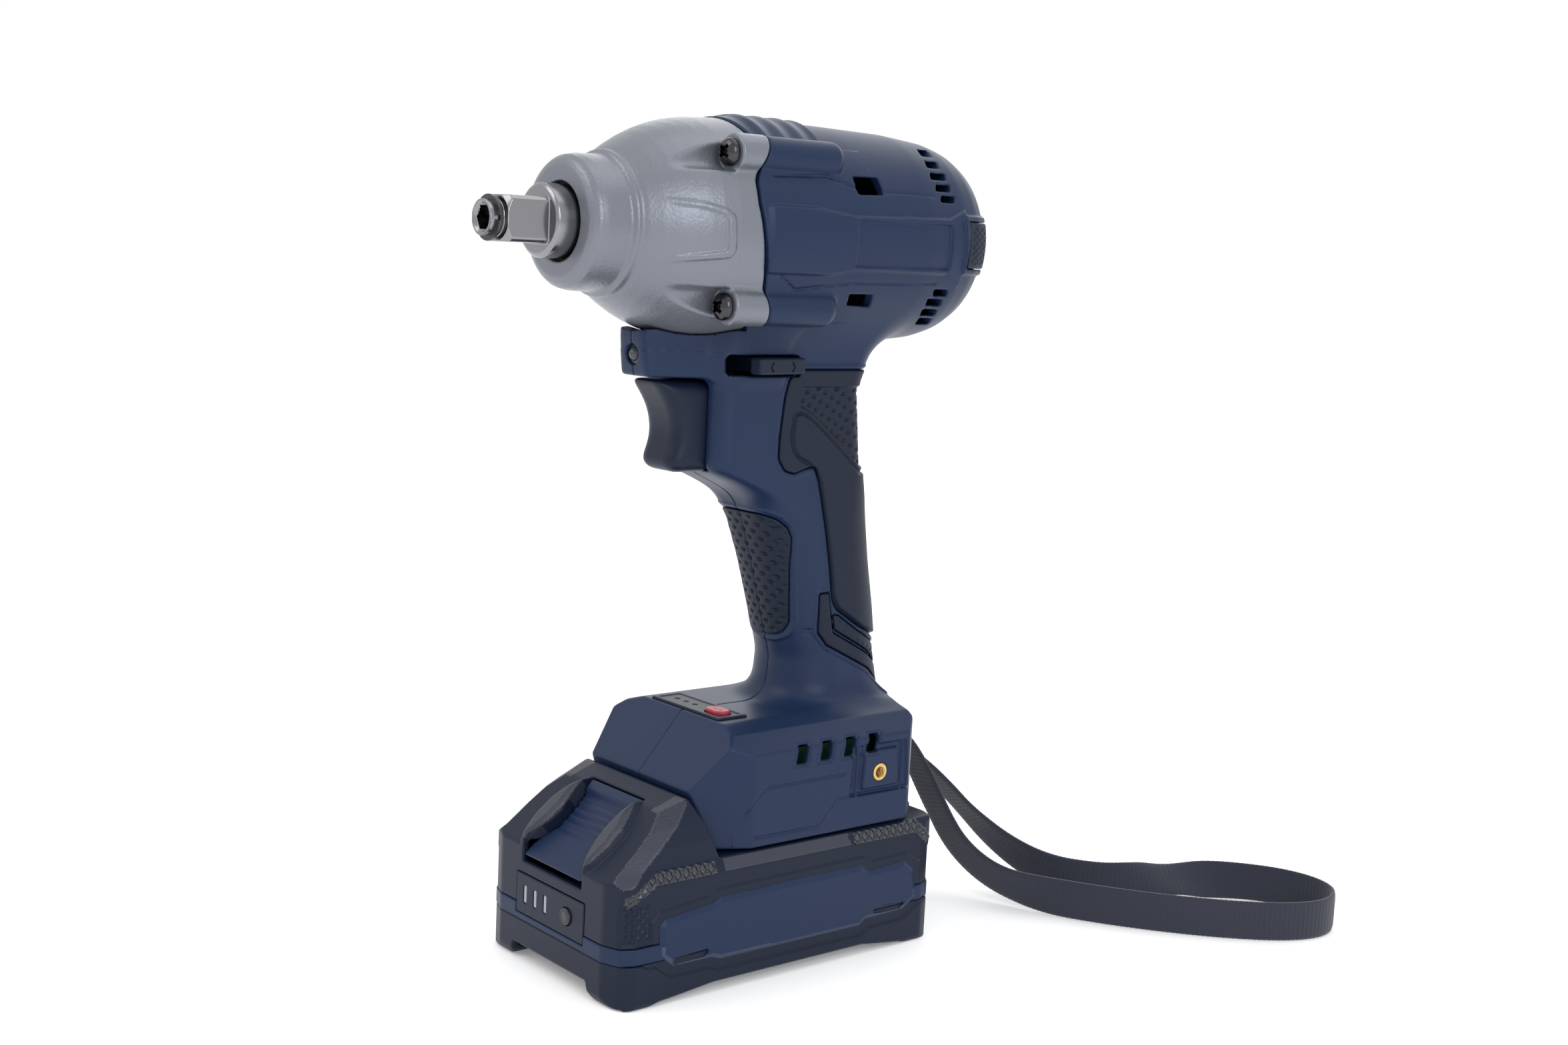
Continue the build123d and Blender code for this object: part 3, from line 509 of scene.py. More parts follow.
CASE_ROOM = Outline([(-44.6, -15), (-44.6, 22.5), (-38, 25.2), (-18, 27.7), (0, 27.8), (0, -15)], soft=0)
RIM = smooth_table([
    (-90, -14.0), (-60, -14.5), (-36, -16.4), (-17, -19.3), (-1, -21.1), (14, -22.6), (26, -22.4),
    (38, -18.8), (50, -17.2), (67, -17.7), (90, -18)], -95, 95, 7)
HANDLE = smooth_table([
    (40, 13, 56, 17, 15), (72, 13, 55, 17, 15), (90, 14.3, 51.3, 16.5, 15), (105, 10.1, 49, 16.5, 15),
    (120, 5.7, 45.8, 16.5, 14.5), (134, 1, 42.9, 16.5, 13), (142, -4, 40.4, 16.5, 10),
    (147, -14, 38.6, 16.3, 8), (150, -21.5, 37.8, 16.2, 7), (176, -21.5, 35, 16.2, 7),
    (187, -21.5, 40, 17, 8), (204, -21.5, 52, 18, 9), (240, -21.5, 52, 18, 9)], 30, 245, 9)
FOOT_SIDE = Outline([
    (-27, 40.3), (52, 40.3), (52, 69.8), (49.9, 76), (-18.9, 76), (-22.7, 71.7), (-34.5, 58.3)])
FOOT_PLAN = Outline(mirrored((25, -35), (33.7, -16), (33.7, 46), (28, 52)))
FOOT_FRONT = Outline(mirrored((33.7, 30), (33.7, 68.5), (27, 73.7), (20, 76)))
FOOT_ROOM = Outline([
    (-24.2, 30), (49.4, 30), (49.4, 69), (47.6, 73.4), (-17.6, 73.4), (-20.2, 70.6), (-31, 58)], soft=0)
CHIN_SIDE = Outline([(0, 177.8), (-41.6, 177.8), (-43.6, 189), (-43.6, 204), (0, 204)], soft=1.2)
CHIN_PLAN = Outline(mirrored((6.3, -43.6), (8, -38), (12, -24), (16.4, -12), (16.4, 10)), soft=2.5)
REAR_GRIP = Outline([
    (7, 180.6), (4, 178), (2.6, 172), (1.3, 160), (1.3, 154), (3.8, 150.4), (7.4, 149.4), (12, 150.8),
    (15.6, 151.3), (17.4, 147.1), (21.3, 131.3), (23.6, 120.1), (25.4, 109), (27.5, 106), (37, 100),
    (60, 90), (60, 180.6)], soft=1.2)
GRIP_SMOOTH = Outline([
    (15.8, 150), (17.9, 147.1), (21.8, 131.3), (24.1, 120.1), (25.9, 109.6), (28, 106.6), (37, 100.7),
    (60, 91), (60, 150.3), (34, 148), (29.4, 151.8), (25, 155.6), (19.2, 160.5), (12.4, 165.6),
    (8.6, 167.4), (6.8, 166.6), (6.2, 160.4), (7.0, 157), (9.2, 154.4), (13.6, 152.4)], soft=1.4)
GRIP_PATCH = Outline([(26, 104.2), (28, 104), (36.4, 98.4), (60, 86), (60, 78), (41.9, 91.6), (27, 99.6)])
GRIP_STRIPE = Outline([
    (20.4, 111.2), (23.8, 111.4), (25.2, 103), (26.2, 98.6), (41.6, 90.4), (60, 79), (60, 71), (42.4, 85.8),
    (31.6, 91.3), (24.4, 94.9), (21.2, 99)])
FRONT_GRIP = Outline([
    (-30, 140.4), (-15, 138.4), (-7.5, 137.2), (0.2, 136.4), (4.5, 134.8), (7.6, 132.3), (9.2, 129),
    (10.2, 121), (12.2, 109.4), (13.6, 102), (13.2, 98.3), (10.7, 94.9), (5.9, 93.1), (1.6, 93.2),
    (-3, 94.2), (-30, 96)], soft=1.0)


def head_polar(x, z):
    """Distance from the head's axis, and angle above the level, the same on both sides."""
    return hypot(x, z - AXIS), np.degrees(np.arctan2(z - AXIS, abs(x)))


def rim_at(phi):
    """Where the housing's front rim lies along the head."""
    return np.interp(phi, RIM[0], RIM[1][0])


def handle_distance(x, y, z, inset=0.0):
    """A rounded rectangle at each height, whose sides follow the handle's table."""
    front, back, half, corner = (np.interp(z, HANDLE[0], c) for c in HANDLE[1])
    r = maximum(corner - inset, 1.0)
    qx = abs(x) - (half - inset) + r
    qy = abs(y - (front + back) / 2) - ((back - front) / 2 - inset) + r
    return (hypot(maximum(qx, 0), maximum(qy, 0)) + minimum(maximum(qx, qy), 0) - r) * 0.95


def dimples(u, v, pitch_u=4.6, pitch_v=2.05, depth=0.55, size=(1.15, 0.6)):
    """Rows of small oval dimples, every other row shifted by half a pitch."""
    row = np.round(v / pitch_v)
    du = (u / pitch_u - 0.5 * (row % 2) - np.round(u / pitch_u - 0.5 * (row % 2))) * pitch_u
    dv = v - row * pitch_v
    return depth * ease(1.25 - hypot(du / size[0], dv / size[1]))


BOSSES = [(BOSS_X, BOSS_Z), (BOSS_X, -BOSS_Z)]
SIDE_BAND = Outline([
    (-60, 228.4), (-2, 228.6), (13, 226.8), (52, 227.9), (60, 231), (60, 207), (52, 211), (14, 211.2),
    (5, 209.4), (-60, 209.4)], soft=0.6)
SIDE_PANEL = Outline([(13.4, 225.7), (53, 226), (53, 212.6), (13.4, 212.2)])
BUMPER_FRAME = Outline([(58.2, 229.4), (95, 229.4), (95, 211.2), (59.2, 211.2)], soft=1.2)
BUMPER_SLOT = Outline([(60.2, 227.4), (100, 227.4), (100, 213.2), (61.2, 213.2)], soft=1.2)
UPPER_LINE = Outline([
    (-16, 236.6), (4, 237.6), (15.8, 234.2), (46.8, 234.2), (46.8, 234.9), (16, 234.9), (4.2, 238.3),
    (-16, 237.3)], soft=0)
LOWER_LINE = Outline([
    (-13.5, 209.3), (-6.4, 205.2), (14.8, 207.8), (49.6, 208.5), (49.6, 207.8), (14.8, 207.1),
    (-6.4, 204.5), (-13.9, 208.6)], soft=0)
VENT_SLOTS = [
    Outline([(y0 + 1.2, z + 1.0), (y1, z + 1.0), (y1 - 1.2, z - 1.0), (y0, z - 1.0)], soft=0.6)
    for y0, y1, z in [(50.6, 57.2, 247.8), (49.0, 56.3, 244.2), (47.9, 56.6, 240.6), (48.3, 56.4, 237.1),
                      (49.2, 57.0, 233.8)]]
VENT_SLOTS += [
    Outline([(y0, z + 1.0), (y1 - 1.0, z + 1.0), (y1, z - 1.0), (y0 + 1.0, z - 1.0)], soft=0.6)
    for y0, y1, z in [(49.9, 57.4, 205.4), (48.9, 57.0, 202.4), (49.6, 57.6, 199.2), (51.2, 58.8, 196.3)]]
WINDOWS = [
    Outline([(14.4, 238.3), (24.6, 238.6), (25.4, 233.6), (15, 233.2)]),
    Outline([(15.4, 204.1), (24.8, 204.2), (26.2, 200.5), (16.4, 200.8)])]


def head_outer(x, y, z):
    """The head's outside: barrel, raised side band, bumper frame, screw bosses and ripples on top."""
    r, phi = head_polar(x, z)
    d = HEAD(y, r)
    lift = 0.95 * inside(SIDE_BAND(y, z), 0.5) * ease((y + 21) / 3)
    lift -= 0.95 * inside(SIDE_PANEL(y, z), 0.45)
    lift += 1.0 * inside(BUMPER_FRAME(y, z), 0.5)
    lift -= 0.45 * inside(UPPER_LINE(y, z), 0.35) + 0.45 * inside(LOWER_LINE(y, z), 0.35)
    top = ease((phi - 40) / 12)
    crease = 9.6 - 0.16 * (r * np.cos(np.radians(phi)) - 12)
    wave = 0.5 + 0.5 * np.cos(2 * np.pi * (y - crease) / 7.2)
    lift += top * ease((crease - y) / 1.2) * ease((y + 16) / 4) * (0.45 + 0.75 * wave)
    d = d - lift * ease((r - 20) / 6)
    for bx, bz in BOSSES:
        bu, bv = abs(x) - bx, z - AXIS - bz
        stem = hypot(bu, bv) - 5.3
        end = np.sqrt(bu ** 2 + bv ** 2 + (maximum(y - 6.5, 0) * 1.1) ** 2) - 5.3
        d = smin(d, maximum(stem, end), 1.6)
    return d


def neck_outer(x, y, z):
    """Handle and chin, which carries the lamp under the case."""
    handle = smax(handle_distance(x, y, z), slab(z, 60, 215), 1.0)
    chin = meet(1.6, CHIN_SIDE(y, z), CHIN_PLAN(x, y))
    return smin(handle, chin, 4.0)


def body_outer(x, y, z):
    """The whole housing's outside, before openings."""
    head = head_outer(x, y, z)
    neck = neck_outer(x, y, z)
    upper = smin(head, neck, 7.0 * ease((y + 14) / 14) + 1.2)
    foot = meet(0.9, FOOT_SIDE(y, z), FOOT_PLAN(x, y), FOOT_FRONT(x, z))
    return smin(upper, foot_relief(x, y, z, foot), 8.5)


FOOT_GROOVES = [
    Outline([(-19.2, 49.5), (-11.1, 57.8), (19.9, 57.9), (19.9, 58.5), (-11.3, 58.4), (-19.6, 50.0)], soft=0),
    Outline([(-15.6, 43.1), (10.4, 42.7), (17.6, 50.7), (50.7, 50.1), (50.7, 50.8), (17.3, 51.4),
             (10.2, 43.4), (-15.6, 43.8)], soft=0)]
FOOT_VENTS, VENT_TAILS = (
    [Outline([(a + 9.5 * i, top), (b + 9.5 * i, top), (c + 9.5 * i, low), (d + 9.5 * i, low)])
     for i in range(4)]
    for a, b, c, d, top, low in ((1.2, 5.2, 4.2, 0.2, 69.2, 63.5), (0.0, 5.8, 4.6, -2.2, 69.8, 62.9)))
HOOK_BLOCK = Outline([(27.2, 64.2), (40.6, 64.2), (41.4, 52.4), (26.6, 52.4)])
HOOK_FRAME = Outline([(22.8, 66.2), (44.8, 66.2), (45.6, 50.4), (22.0, 50.4)], soft=1.0)


def foot_relief(x, y, z, d):
    """Grooves, vent recesses and the hook's raised block on the foot's sides."""
    side = ease((abs(x) - 31) / 1.5)
    lift = -0.5 * sum(inside(g(y, z), 0.35) for g in FOOT_GROOVES)
    lift = lift - 0.6 * sum(inside(g(y, z), 0.4) for g in VENT_TAILS)
    frame_in = inside(HOOK_FRAME(y, z), 0.4)
    lift = lift - 0.9 * frame_in + 1.3 * inside(HOOK_BLOCK(y, z), 0.4)
    rib = minimum(abs(abs(y - 33.8) - 9.2) - 0.45, 0.6)
    lift = lift + 0.9 * frame_in * inside(rib, 0.3)
    return d - lift * side


SCREWS = [(-33, 184.5), (30, 183.5), (10, 134), (26, 92), (-19, 62), (44, 70), (68, 243), (68, 199)]
POSTS = SCREWS[1:6]      # the screws that have a post inside


def housing(side):
    """One half of the housing: +1 the half on +X, -1 the other, which has the screw heads."""
    def field(x, y, z):
        r, phi = head_polar(x, z)
        ax = abs(x)
        outer = body_outer(x, y, z)
        grips = join(0.3, REAR_GRIP(y, z), GRIP_PATCH(y, z), GRIP_STRIPE(y, z), FRONT_GRIP(y, z)) - 0.3
        bead = np.exp(-((grips - 0.85) / 0.5) ** 2)
        bead = bead * inside(slab(z, 76, 184), 1) * inside(slab(y, -34, 52), 1)
        lines = inside(abs(abs(z - 99.1) - 0.75) - 0.22, 0.2) * inside(slab(y, 13.8, 19.4), 0.3)
        outer = outer - 0.4 * bead + 0.35 * lines * ease((ax - 12) / 3)
        rim = rim_at(phi)
        room = HEAD_ROOM(y, r)
        grip_room = smax(handle_distance(x, y, z, 4.2), slab(z, 73, 204), 1.5)
        foot_room = meet(0.8, FOOT_ROOM(y, z), FOOT_PLAN(x, y) + 2.6, FOOT_FRONT(x, z) + 2.6)
        chin_room = brick(x, y, z, (-5.4, -39.5, 180.6), (5.4, -10, 197), 1.0)
        d = smax(outer, -join(1.0, room, grip_room, foot_room, chin_room), 0.5)
        for bx, bz in BOSSES:
            post = disc(ax - bx, z - AXIS - bz, y, 5.2, -17, 22)
            d = smin(d, maximum(post, outer), 0.4)
        seats = minimum(slab(y, 42, 45), slab(y, 54, 57))
        d = minimum(d, tube(r, 28.9, 26.02, seats))
        d = minimum(d, tube(r, 11, 8.0, slab(y, 65, 74)))
        for sy, sz in POSTS:
            d = minimum(d, maximum(hypot(y - sy, z - sz) - 3.6, outer))
        rail = brick(ax, y, z, (18.2, -22, 41.2), (31.4, 49.5, 44.8), 0.4)
        d = minimum(d, rail)
        # Openings.
        case = maximum(CASE(y, r) - 0.35, y - rim - 0.12)
        # In front of the rim only the chin is left, lower beside its middle and at its tip.
        above_chin = reduce(minimum, [
            198 - z, maximum(192.5 - z, 9.5 - ax), maximum(194.0 - z, y + 36),
            maximum(0.25 - neck_outer(x, y, z), 186 - z)])
        front = maximum(y - rim - 0.12, above_chin)
        cut = [
            case,
            brick(x, y, z, (-22.8, -60, 30), (22.8, -20, 52.4), 0.4),        # the battery's ridge
            brick(x, y, z, (-9.4, -60, 150.2), (9.4, -8, 177.2), 1.2),       # trigger
            brick(x, y, z, (-30, -19.4, 178.9), (30, 7.4, 185.1), 1.6),      # direction lever
            disc(x, z - LAMP_Z, y, 3.05, -60, -38),
            brick(x, y, z, (-17.1, -18.1, 73.9), (17.1, -6.9, 90), 0.5),     # control panel
            brick(x, y, z, (-15.4, -17, 68), (15.4, -8, 76), 0.5),           # and the room under it
            brick(x, y, z, (-7, 40, 55.4), (7, 60, 68.6), 1.0)]              # strap
        cut += [maximum(vent(y, z), 8 - ax) for vent in VENT_SLOTS + WINDOWS]
        cut += [maximum(vent(y, z), 22 - ax) for vent in FOOT_VENTS]
        d = smax(d, -join(0.3, *cut), 0.5)
        d = smax(d, -front, 0.8)
        from_hook = hypot(y - HOOK_Y, z - HOOK_Z)
        d = smax(d, -maximum(from_hook - 2.8, 27.7 - ax), 0.4)
        d = minimum(d, tube(from_hook, 4.6, 2.8, slab(ax, 26, 32)))
        # Grips lie in recesses with a fine gap round them.
        skin = handle_distance(x, y, z, 1.35)
        zone = meet(0.3, grips, -skin, slab(z, 68, 186), slab(y, -40, 56))
        d = smax(d, -zone, 0.35)
        bumper_zone = meet(0.3, BUMPER_SLOT(y, z) - 0.25, -(HEAD(y, r) + 1.7), 40 - y)
        d = smax(d, -bumper_zone, 0.4)
        if side < 0:
            for sy, sz in SCREWS:
                # How far out the surface is there: on the head, or else the foot, the chin or the handle.
                if sz > 190:
                    out = math.sqrt(max(27.5 ** 2 - (sz - AXIS) ** 2, 0))
                else:
                    out = 33.7 if sz < 72 else 10.0 if sy < -25 else 16.5
                hole = maximum(hypot(y - sy, z - sz) - 3.3, x + out - 3.0)
                d = smax(d, -hole, 0.6)
        return smax(d, 0.04 - side * x, 0.45)
    return field


BRACKET = Outline([
    (-60, 228.6), (-47.9, 228.8), (-40.4, 228.2), (-33.5, 226.6), (-31.2, 224.8), (-30.4, 215.2),
    (-31.6, 213.2), (-47.8, 211.2), (-60, 211), (-60, 212.6), (-47.8, 212.8), (-33.4, 215.0),
    (-32.8, 216.4), (-33.5, 223.8), (-34.6, 225.2), (-40.4, 226.6), (-47.9, 227.2), (-60, 227)], soft=0.5)


def hammer_case(x, y, z):
    r, phi = head_polar(x, z)
    ax = abs(x)
    d = CASE(y, r)
    d -= 0.3 * np.exp(-((y + 56.2) / 0.7) ** 2)
    d -= 0.7 * inside(BRACKET(y, z), 0.45) * ease((ax - 10) / 4) * ease((y + 52) / 14)
    for bx, bz in BOSSES:
        bu, bv = ax - bx, z - AXIS - bz
        reach = math.hypot(bx, bz)
        out = (bu * bx + bv * bz) / reach
        cross = (bv * bx - bu * bz) / reach
        boss = smax(hypot(bu, bv) - 5.5, -28.7 - y, 0.8)
        d = smin(d, boss, 1.8)
        # A smooth hollow in front of the screw head, narrowing towards the nose.
        fade = np.clip((-28.7 - y) / 21, 0, 1)
        width = 5.4 * (1 - 0.55 * fade)
        hollow = hypot(cross, out + 4.0 * fade) - width
        d = smax(d, -smax(hollow, y + 28.9, 0.7), 1.1)
    d = smax(d, -CASE_ROOM(y, r), 0.4)
    bore = maximum(np.where(y < -67.6, r - 11.2, r - 13.5), -y - 80)
    d = smax(d, -bore, 0.5)
    return smax(d, y - (rim_at(phi) - 0.12), 0.8)


def grip_skin(side, region, patch=None, smooth=None, proud=0.3, sunk=0.0):
    """Rubber over a region of the handle: dimpled and sunk within the patch, raised over the smooth part."""
    def field(x, y, z):
        base = handle_distance(x, y, z)
        lift = proud
        if patch is not None:
            depth = dimples(y * 0.97 + z * 0.24, z * 0.97 - y * 0.24)
            turned = dimples(x, z + 0.3 * y)
            facing = ease((abs(x) - 10.5) / 2.5)
            lift = lift - inside(patch(y, z) + 0.9, 0.4) * (sunk + depth * facing + turned * (1 - facing))
        if smooth is not None:
            rim = smooth(y, z)
            lift = lift + 0.55 * inside(rim, 0.5) - 0.5 * np.exp(-((rim - 0.6) / 0.45) ** 2)
        outer = base - lift
        d = meet(0.7, outer, region(y, z), slab(z, 68, 186), slab(y, -40, 56))
        d = smax(d, -(base + 1.35), 0.3)
        slot = brick(x, y, z, (-30, -19.4, 178.6), (30, 7.7, 185.4), 1.0)
        d = smax(d, -slot, 0.3)
        return smax(d, 0.03 - side * x, 0.3)
    return field


GRIP_TEXTURE = Outline([
    (8.2, 176.4), (60, 176.4), (60, 151.5), (34, 149.5), (30, 152.9), (25.6, 156.8), (19.8, 161.6),
    (13, 166.6), (9.8, 168.2), (7.4, 168.9)])


def rear_grip(side):
    parts = [grip_skin(side, REAR_GRIP, GRIP_TEXTURE, GRIP_SMOOTH, proud=0.55, sunk=0.75),
             grip_skin(side, GRIP_PATCH, GRIP_PATCH), grip_skin(side, GRIP_STRIPE)]
    return lambda x, y, z: reduce(minimum, [part(x, y, z) for part in parts])


TRIGGER = Outline([
    (-38.4, 176.6), (-36.2, 174), (-34.2, 171.2), (-32.6, 168.4), (-31.5, 165.4), (-31, 162.4),
    (-31.1, 159.6), (-31.8, 157), (-32.6, 154.8), (-33, 153), (-32.6, 151.4), (-31.2, 150.2), (-29, 149.6),
    (-14, 149.6), (-14, 177.0), (-38, 177.0)], soft=1.9)


def trigger(x, y, z):
    d = meet(5.5, TRIGGER(y, z), slab(x, -9.2, 9.2))
    room = brick(x, y, z, (-7.2, -27.4, 152.4), (7.2, -10, 174.8), 0.5)
    return smax(smax(d, -room, 0.4), y + 16.2, 0.3)


def direction_lever(x, y, z):
    turn = math.radians(8.6)         # half its swing
    ly = y - LEVER_Y
    u = x * math.cos(turn) + ly * math.sin(turn)
    v = -x * math.sin(turn) + ly * math.cos(turn)
    bar = brick(u, v, z, (-19.6, -5, 179.6), (19.6, 5, 184.4), 0.4)
    pads = brick(abs(u), v, z, (17.0, -9.8, 179.6), (21.4, 10.2, 184.5), 0.7)
    d = smin(bar, pads, 0.5)
    for s in (-1, 1):
        arrow = abs(v - s * 5.2 + s * 0.7 * abs(z - LEVER_Z)) - 0.35
        d = smax(d, -meet(0.2, arrow, abs(z - LEVER_Z) - 1.4, 20.9 - abs(u)), 0.15)
    return smax(d, 2.05 - hypot(x, ly), 0.2)


def rear_bumper(x, y, z):
    r = hypot(x, z - AXIS)
    d = meet(0.7, HEAD(y, r) - 1.15, BUMPER_SLOT(y, z), 40 - y)
    # Its texture is a net of fine lines that lean both ways.
    grid = maximum(*(abs(np.sin(np.pi * (z - AXIS + lean * y) / 2.2)) for lean in (0.6, -0.6)))
    d = d + 0.28 * ease((grid - 0.8) / 0.2) * inside(BUMPER_SLOT(y, z) + 1.4, 0.3)
    return smax(d, -(HEAD(y, r) + 1.65), 0.3)


def anvil(x, y, z):
    r = hypot(x, z - AXIS)
    h = z - AXIS
    square = meet(0.25, abs(x) - 6.35, abs(h) - 6.35, r - 8.25, slab(y, -89.4, -70))
    square = smax(square, r - 6.6 - (y + 89.4) * 1.25, 0.3)
    collar = meet(0.6, r - 10.4, slab(y, -76.2, -64.4))
    collar = smax(collar, r - 8.2 - (y + 77.2) * 1.3, 0.5)
    shank = maximum(r - 10, slab(y, -68, -40))
    tip = meet(0.5, r - 6.1, slab(y, -94, -88))
    for at in (-92.4, -90.2):        # seats of the friction ring and the O-ring
        tip = smax(tip, minimum(r - 5.0, 1.45 - abs(y - at)), 0.2)
    d = join(0.35, square, collar, tip)
    d = minimum(d, shank)
    d = minimum(d, meet(0.4, r - 12.5, slab(y, -44, -37.6)))
    d = minimum(d, meet(0.4, abs(x) - 6, r - 20.5, slab(y, -44, -37.6)))
    hexagon = maximum(abs(h), abs(x) * 0.866 + abs(h) * 0.5) - 3.2
    lead = r - 3.55 - 0.9 * maximum(-93.2 - y, 0)
    bore = maximum(minimum(hexagon, maximum(lead, y + 93.2)), y + 81)
    d = smax(d, -bore, 0.2)
    d = smax(d, -maximum(r - 4.05, -52 - y), 0.2)
    pin = maximum(hypot(x, y + 84.5) - 1.6, h + 2)
    return smax(d, -pin, 0.3)


def case_screws(x, y, z):
    ax, ah = abs(x) - BOSS_X, abs(z - AXIS) - BOSS_Z
    r = hypot(ax, ah)
    dome = np.sqrt(r ** 2 + (y + 27.2) ** 2) - 5.0
    head = meet(0.5, r - 4.0, slab(y, -32.0, -28.7), dome)
    a, b = (ax + ah) * DIAGONAL, (ax - ah) * DIAGONAL
    cross = minimum(*(maximum(abs(u) - 0.55, abs(v) - 2.3) for u, v in ((a, b), (b, a))))
    star = r - 1.5 - 0.25 * np.cos(6 * np.arctan2(ah, ax))
    cut = maximum(minimum(cross, star), y + 30.0)
    head = smax(head, -cut, 0.25)
    return minimum(head, meet(0.2, r - 2.0, slab(y, -30, 9.3)))


def lamp_lens(x, y, z):
    r = hypot(x, z - LAMP_Z)
    body = meet(0.3, r - 2.95, slab(y, -41.4, -39.4))
    dome = np.sqrt(r ** 2 + (y + 41.0) ** 2) - 2.1
    return smin(body, dome, 0.4)


def hook_inserts(x, y, z):
    ax = abs(x)
    r = hypot(y - HOOK_Y, z - HOOK_Z)
    turn = np.arctan2(z - HOOK_Z, y - HOOK_Y)
    knurl = 0.16 * (1 - np.cos(20 * turn)) * inside(abs(ax - 32.6) - 0.9, 0.2)
    d = meet(0.25, r - 2.78 + knurl, slab(ax, 27.7, 33.9))
    thread = 0.12 * np.cos(2 * np.pi * ax / 0.7 + turn)
    return smax(d, -(r - 1.72 - thread), 0.15)


def button_oval(x, y, r):
    return hypot(maximum(abs(x - 9.5) - 1.5, 0), y - PANEL_Y) - r


def control_panel(x, y, z):
    d = meet(0.5, slab(x, -17, 17), slab(y, -18, -7), slab(z, 74, 76.5))
    d = d + 0.3 * inside(meet(0.4, slab(x, -15.4, 15.4), slab(y, -16.6, -8.4)), 0.3) * (z > 75)
    for cx in (-11, -6.5, -2):       # lights
        led = meet(0.2, hypot(x - cx, y - PANEL_Y) - 0.9, abs(z - 76.3) - 0.35)
        d = smax(d, -led, 0.2)
    return smax(d, -button_oval(x, y, 3.1), 0.35)


def panel_button(x, y, z):
    d = meet(0.6, button_oval(x, y, 2.8), slab(z, 73.4, 77.3))
    for cx in (8.2, 10.8):           # two raised dots
        d = smin(d, np.sqrt((x - cx) ** 2 + (y - PANEL_Y) ** 2 + ((z - 77.2) * 2.2) ** 2) - 0.55, 0.2)
    return d


solid("anvil_drive", anvil, (-13, -94.4, 200), (13, -37, 242), 0.3, ["anvil"])
solid("case_screw_set", case_screws, (-30, -33, 194), (30, 10, 248), 0.26, ["case_screws"])
solid("lamp_lens_dome", lamp_lens, (-3.2, -43.4, 180.8), (3.2, -39, 187.5), 0.15, ["lamp_lens"])
solid("hook_insert_pair", hook_inserts, (-34.2, 30.6, 54), (34.2, 36.6, 60.2), 0.2, ["hook_inserts"])
solid("control_panel_plate", control_panel, (-17.5, -18.5, 73.8), (17.5, -6.5, 76.9), 0.3, ["control_panel"])
solid("panel_button_cap", panel_button, (4.5, -16, 73.2), (14.5, -9, 77.8), 0.2, ["panel_button"])


def half(side, width, low, high):
    """The box round one half, from a little past the middle."""
    x0, x1 = (-0.5, width) if side > 0 else (-width, 0.5)
    return (x0, *low), (x1, *high)


for side, name in ((1, "left"), (-1, "right")):
    solid(f"housing_{name}_shell", housing(side), *half(side, 36, (-46, 39), (86, 257)), 0.62,
          [f"housing_{name}"])
    solid(f"rear_grip_{name}", rear_grip(side), *half(side, 19, (-24, 72), (58, 184)), 0.42, ["rear_grips"])
    solid(f"front_grip_{name}", grip_skin(side, FRONT_GRIP, FRONT_GRIP),
          *half(side, 19, (-24, 91), (20, 142)), 0.42, ["front_grips"])
solid("hammer_case_shell", hammer_case, (-34, -71, 186), (34, -10, 256), 0.5, ["hammer_case"])
solid("trigger_shell", trigger, (-9.5, -39, 150), (9.5, -15.5, 177.5), 0.4, ["trigger"])
solid("direction_lever_shell", direction_lever, (-22.5, -20, 179), (22.5, 8, 185), 0.35, ["direction_lever"])
solid("rear_bumper_shell", rear_bumper, (-32, 58, 212), (32, 85, 230), 0.4, ["rear_bumper"])

# ---- Battery ----
PACK_WALL = 2.4
PACK_SCREW_X, PACK_SCREW_Y = 28.6, (-56.3, 51.6)
GAUGE_X, GAUGE_Z = 9, 21.3       # the gauge's button
GAUGE_LIGHTS = (-13.4, -8, -2.6)
GAUGE_RECESS = (-18.1, -80, 15.0), (18.1, -63.4, 27.7)
PACK_PLAN = Outline(mirrored(
    (27, -64.7), (33.2, -62.4), (35.2, -58.5), (35.2, 52.5), (33, 57.5), (27, 60)), soft=1.2)
TOP_SIDE = Outline([
    (-65, 10), (-64.7, 36), (-40.1, 56.7), (-34.8, 56.7), (-28.4, 41.5), (-27.6, 39.5), (59.4, 39.5),
    (60, 37.5), (60, 10)])
TOP_FRONT = Outline(mirrored(
    (-35.2, 5), (-35.2, 35.3), (-32.9, 39.5), (-32.2, 45), (-30.8, 50.4), (-26, 56.7)), soft=0.7)
SIDE_NAVY = Outline([
    (-48.5, 25.6), (-31.4, 27.5), (-28.4, 29), (26.5, 29.2), (29.8, 26.7), (44.9, 27.6), (49.6, 23.9),
    (51.3, 14), (45.4, 10.5), (29.5, 10.1), (27.3, 8.4), (-28, 8.7), (-30.8, 9.8), (-45, 9.9),
    (-50.1, 14.1), (-50.6, 23.8)], soft=0.4)
SIDE_SLOTS = [
    Outline([(-44.6, 13.0), (-33, 13.6), (-32.4, 12.6), (-33.6, 11.4), (-44.4, 11.0), (-45.2, 12)], soft=0.4),
    Outline([(33.4, 14.2), (45.4, 13.6), (43.4, 11.6), (32.8, 12.0), (32, 13.1)], soft=0.4)]
KNURL_STRIPS = [
    Outline([(-50.5, 39.2), (-30, 39.2), (-30, 35.3), (-50.5, 35.3), (-61.8, 29.4), (-61.8, 33)], soft=0.4),
    Outline([(-61.6, 30), (-53.4, 30), (-53.4, 20), (-61.6, 20)], soft=0.4),
    Outline([(24, 39.2), (50.5, 39.2), (57, 33), (57, 29.4), (50, 35.3), (24, 35.3)], soft=0.4)]
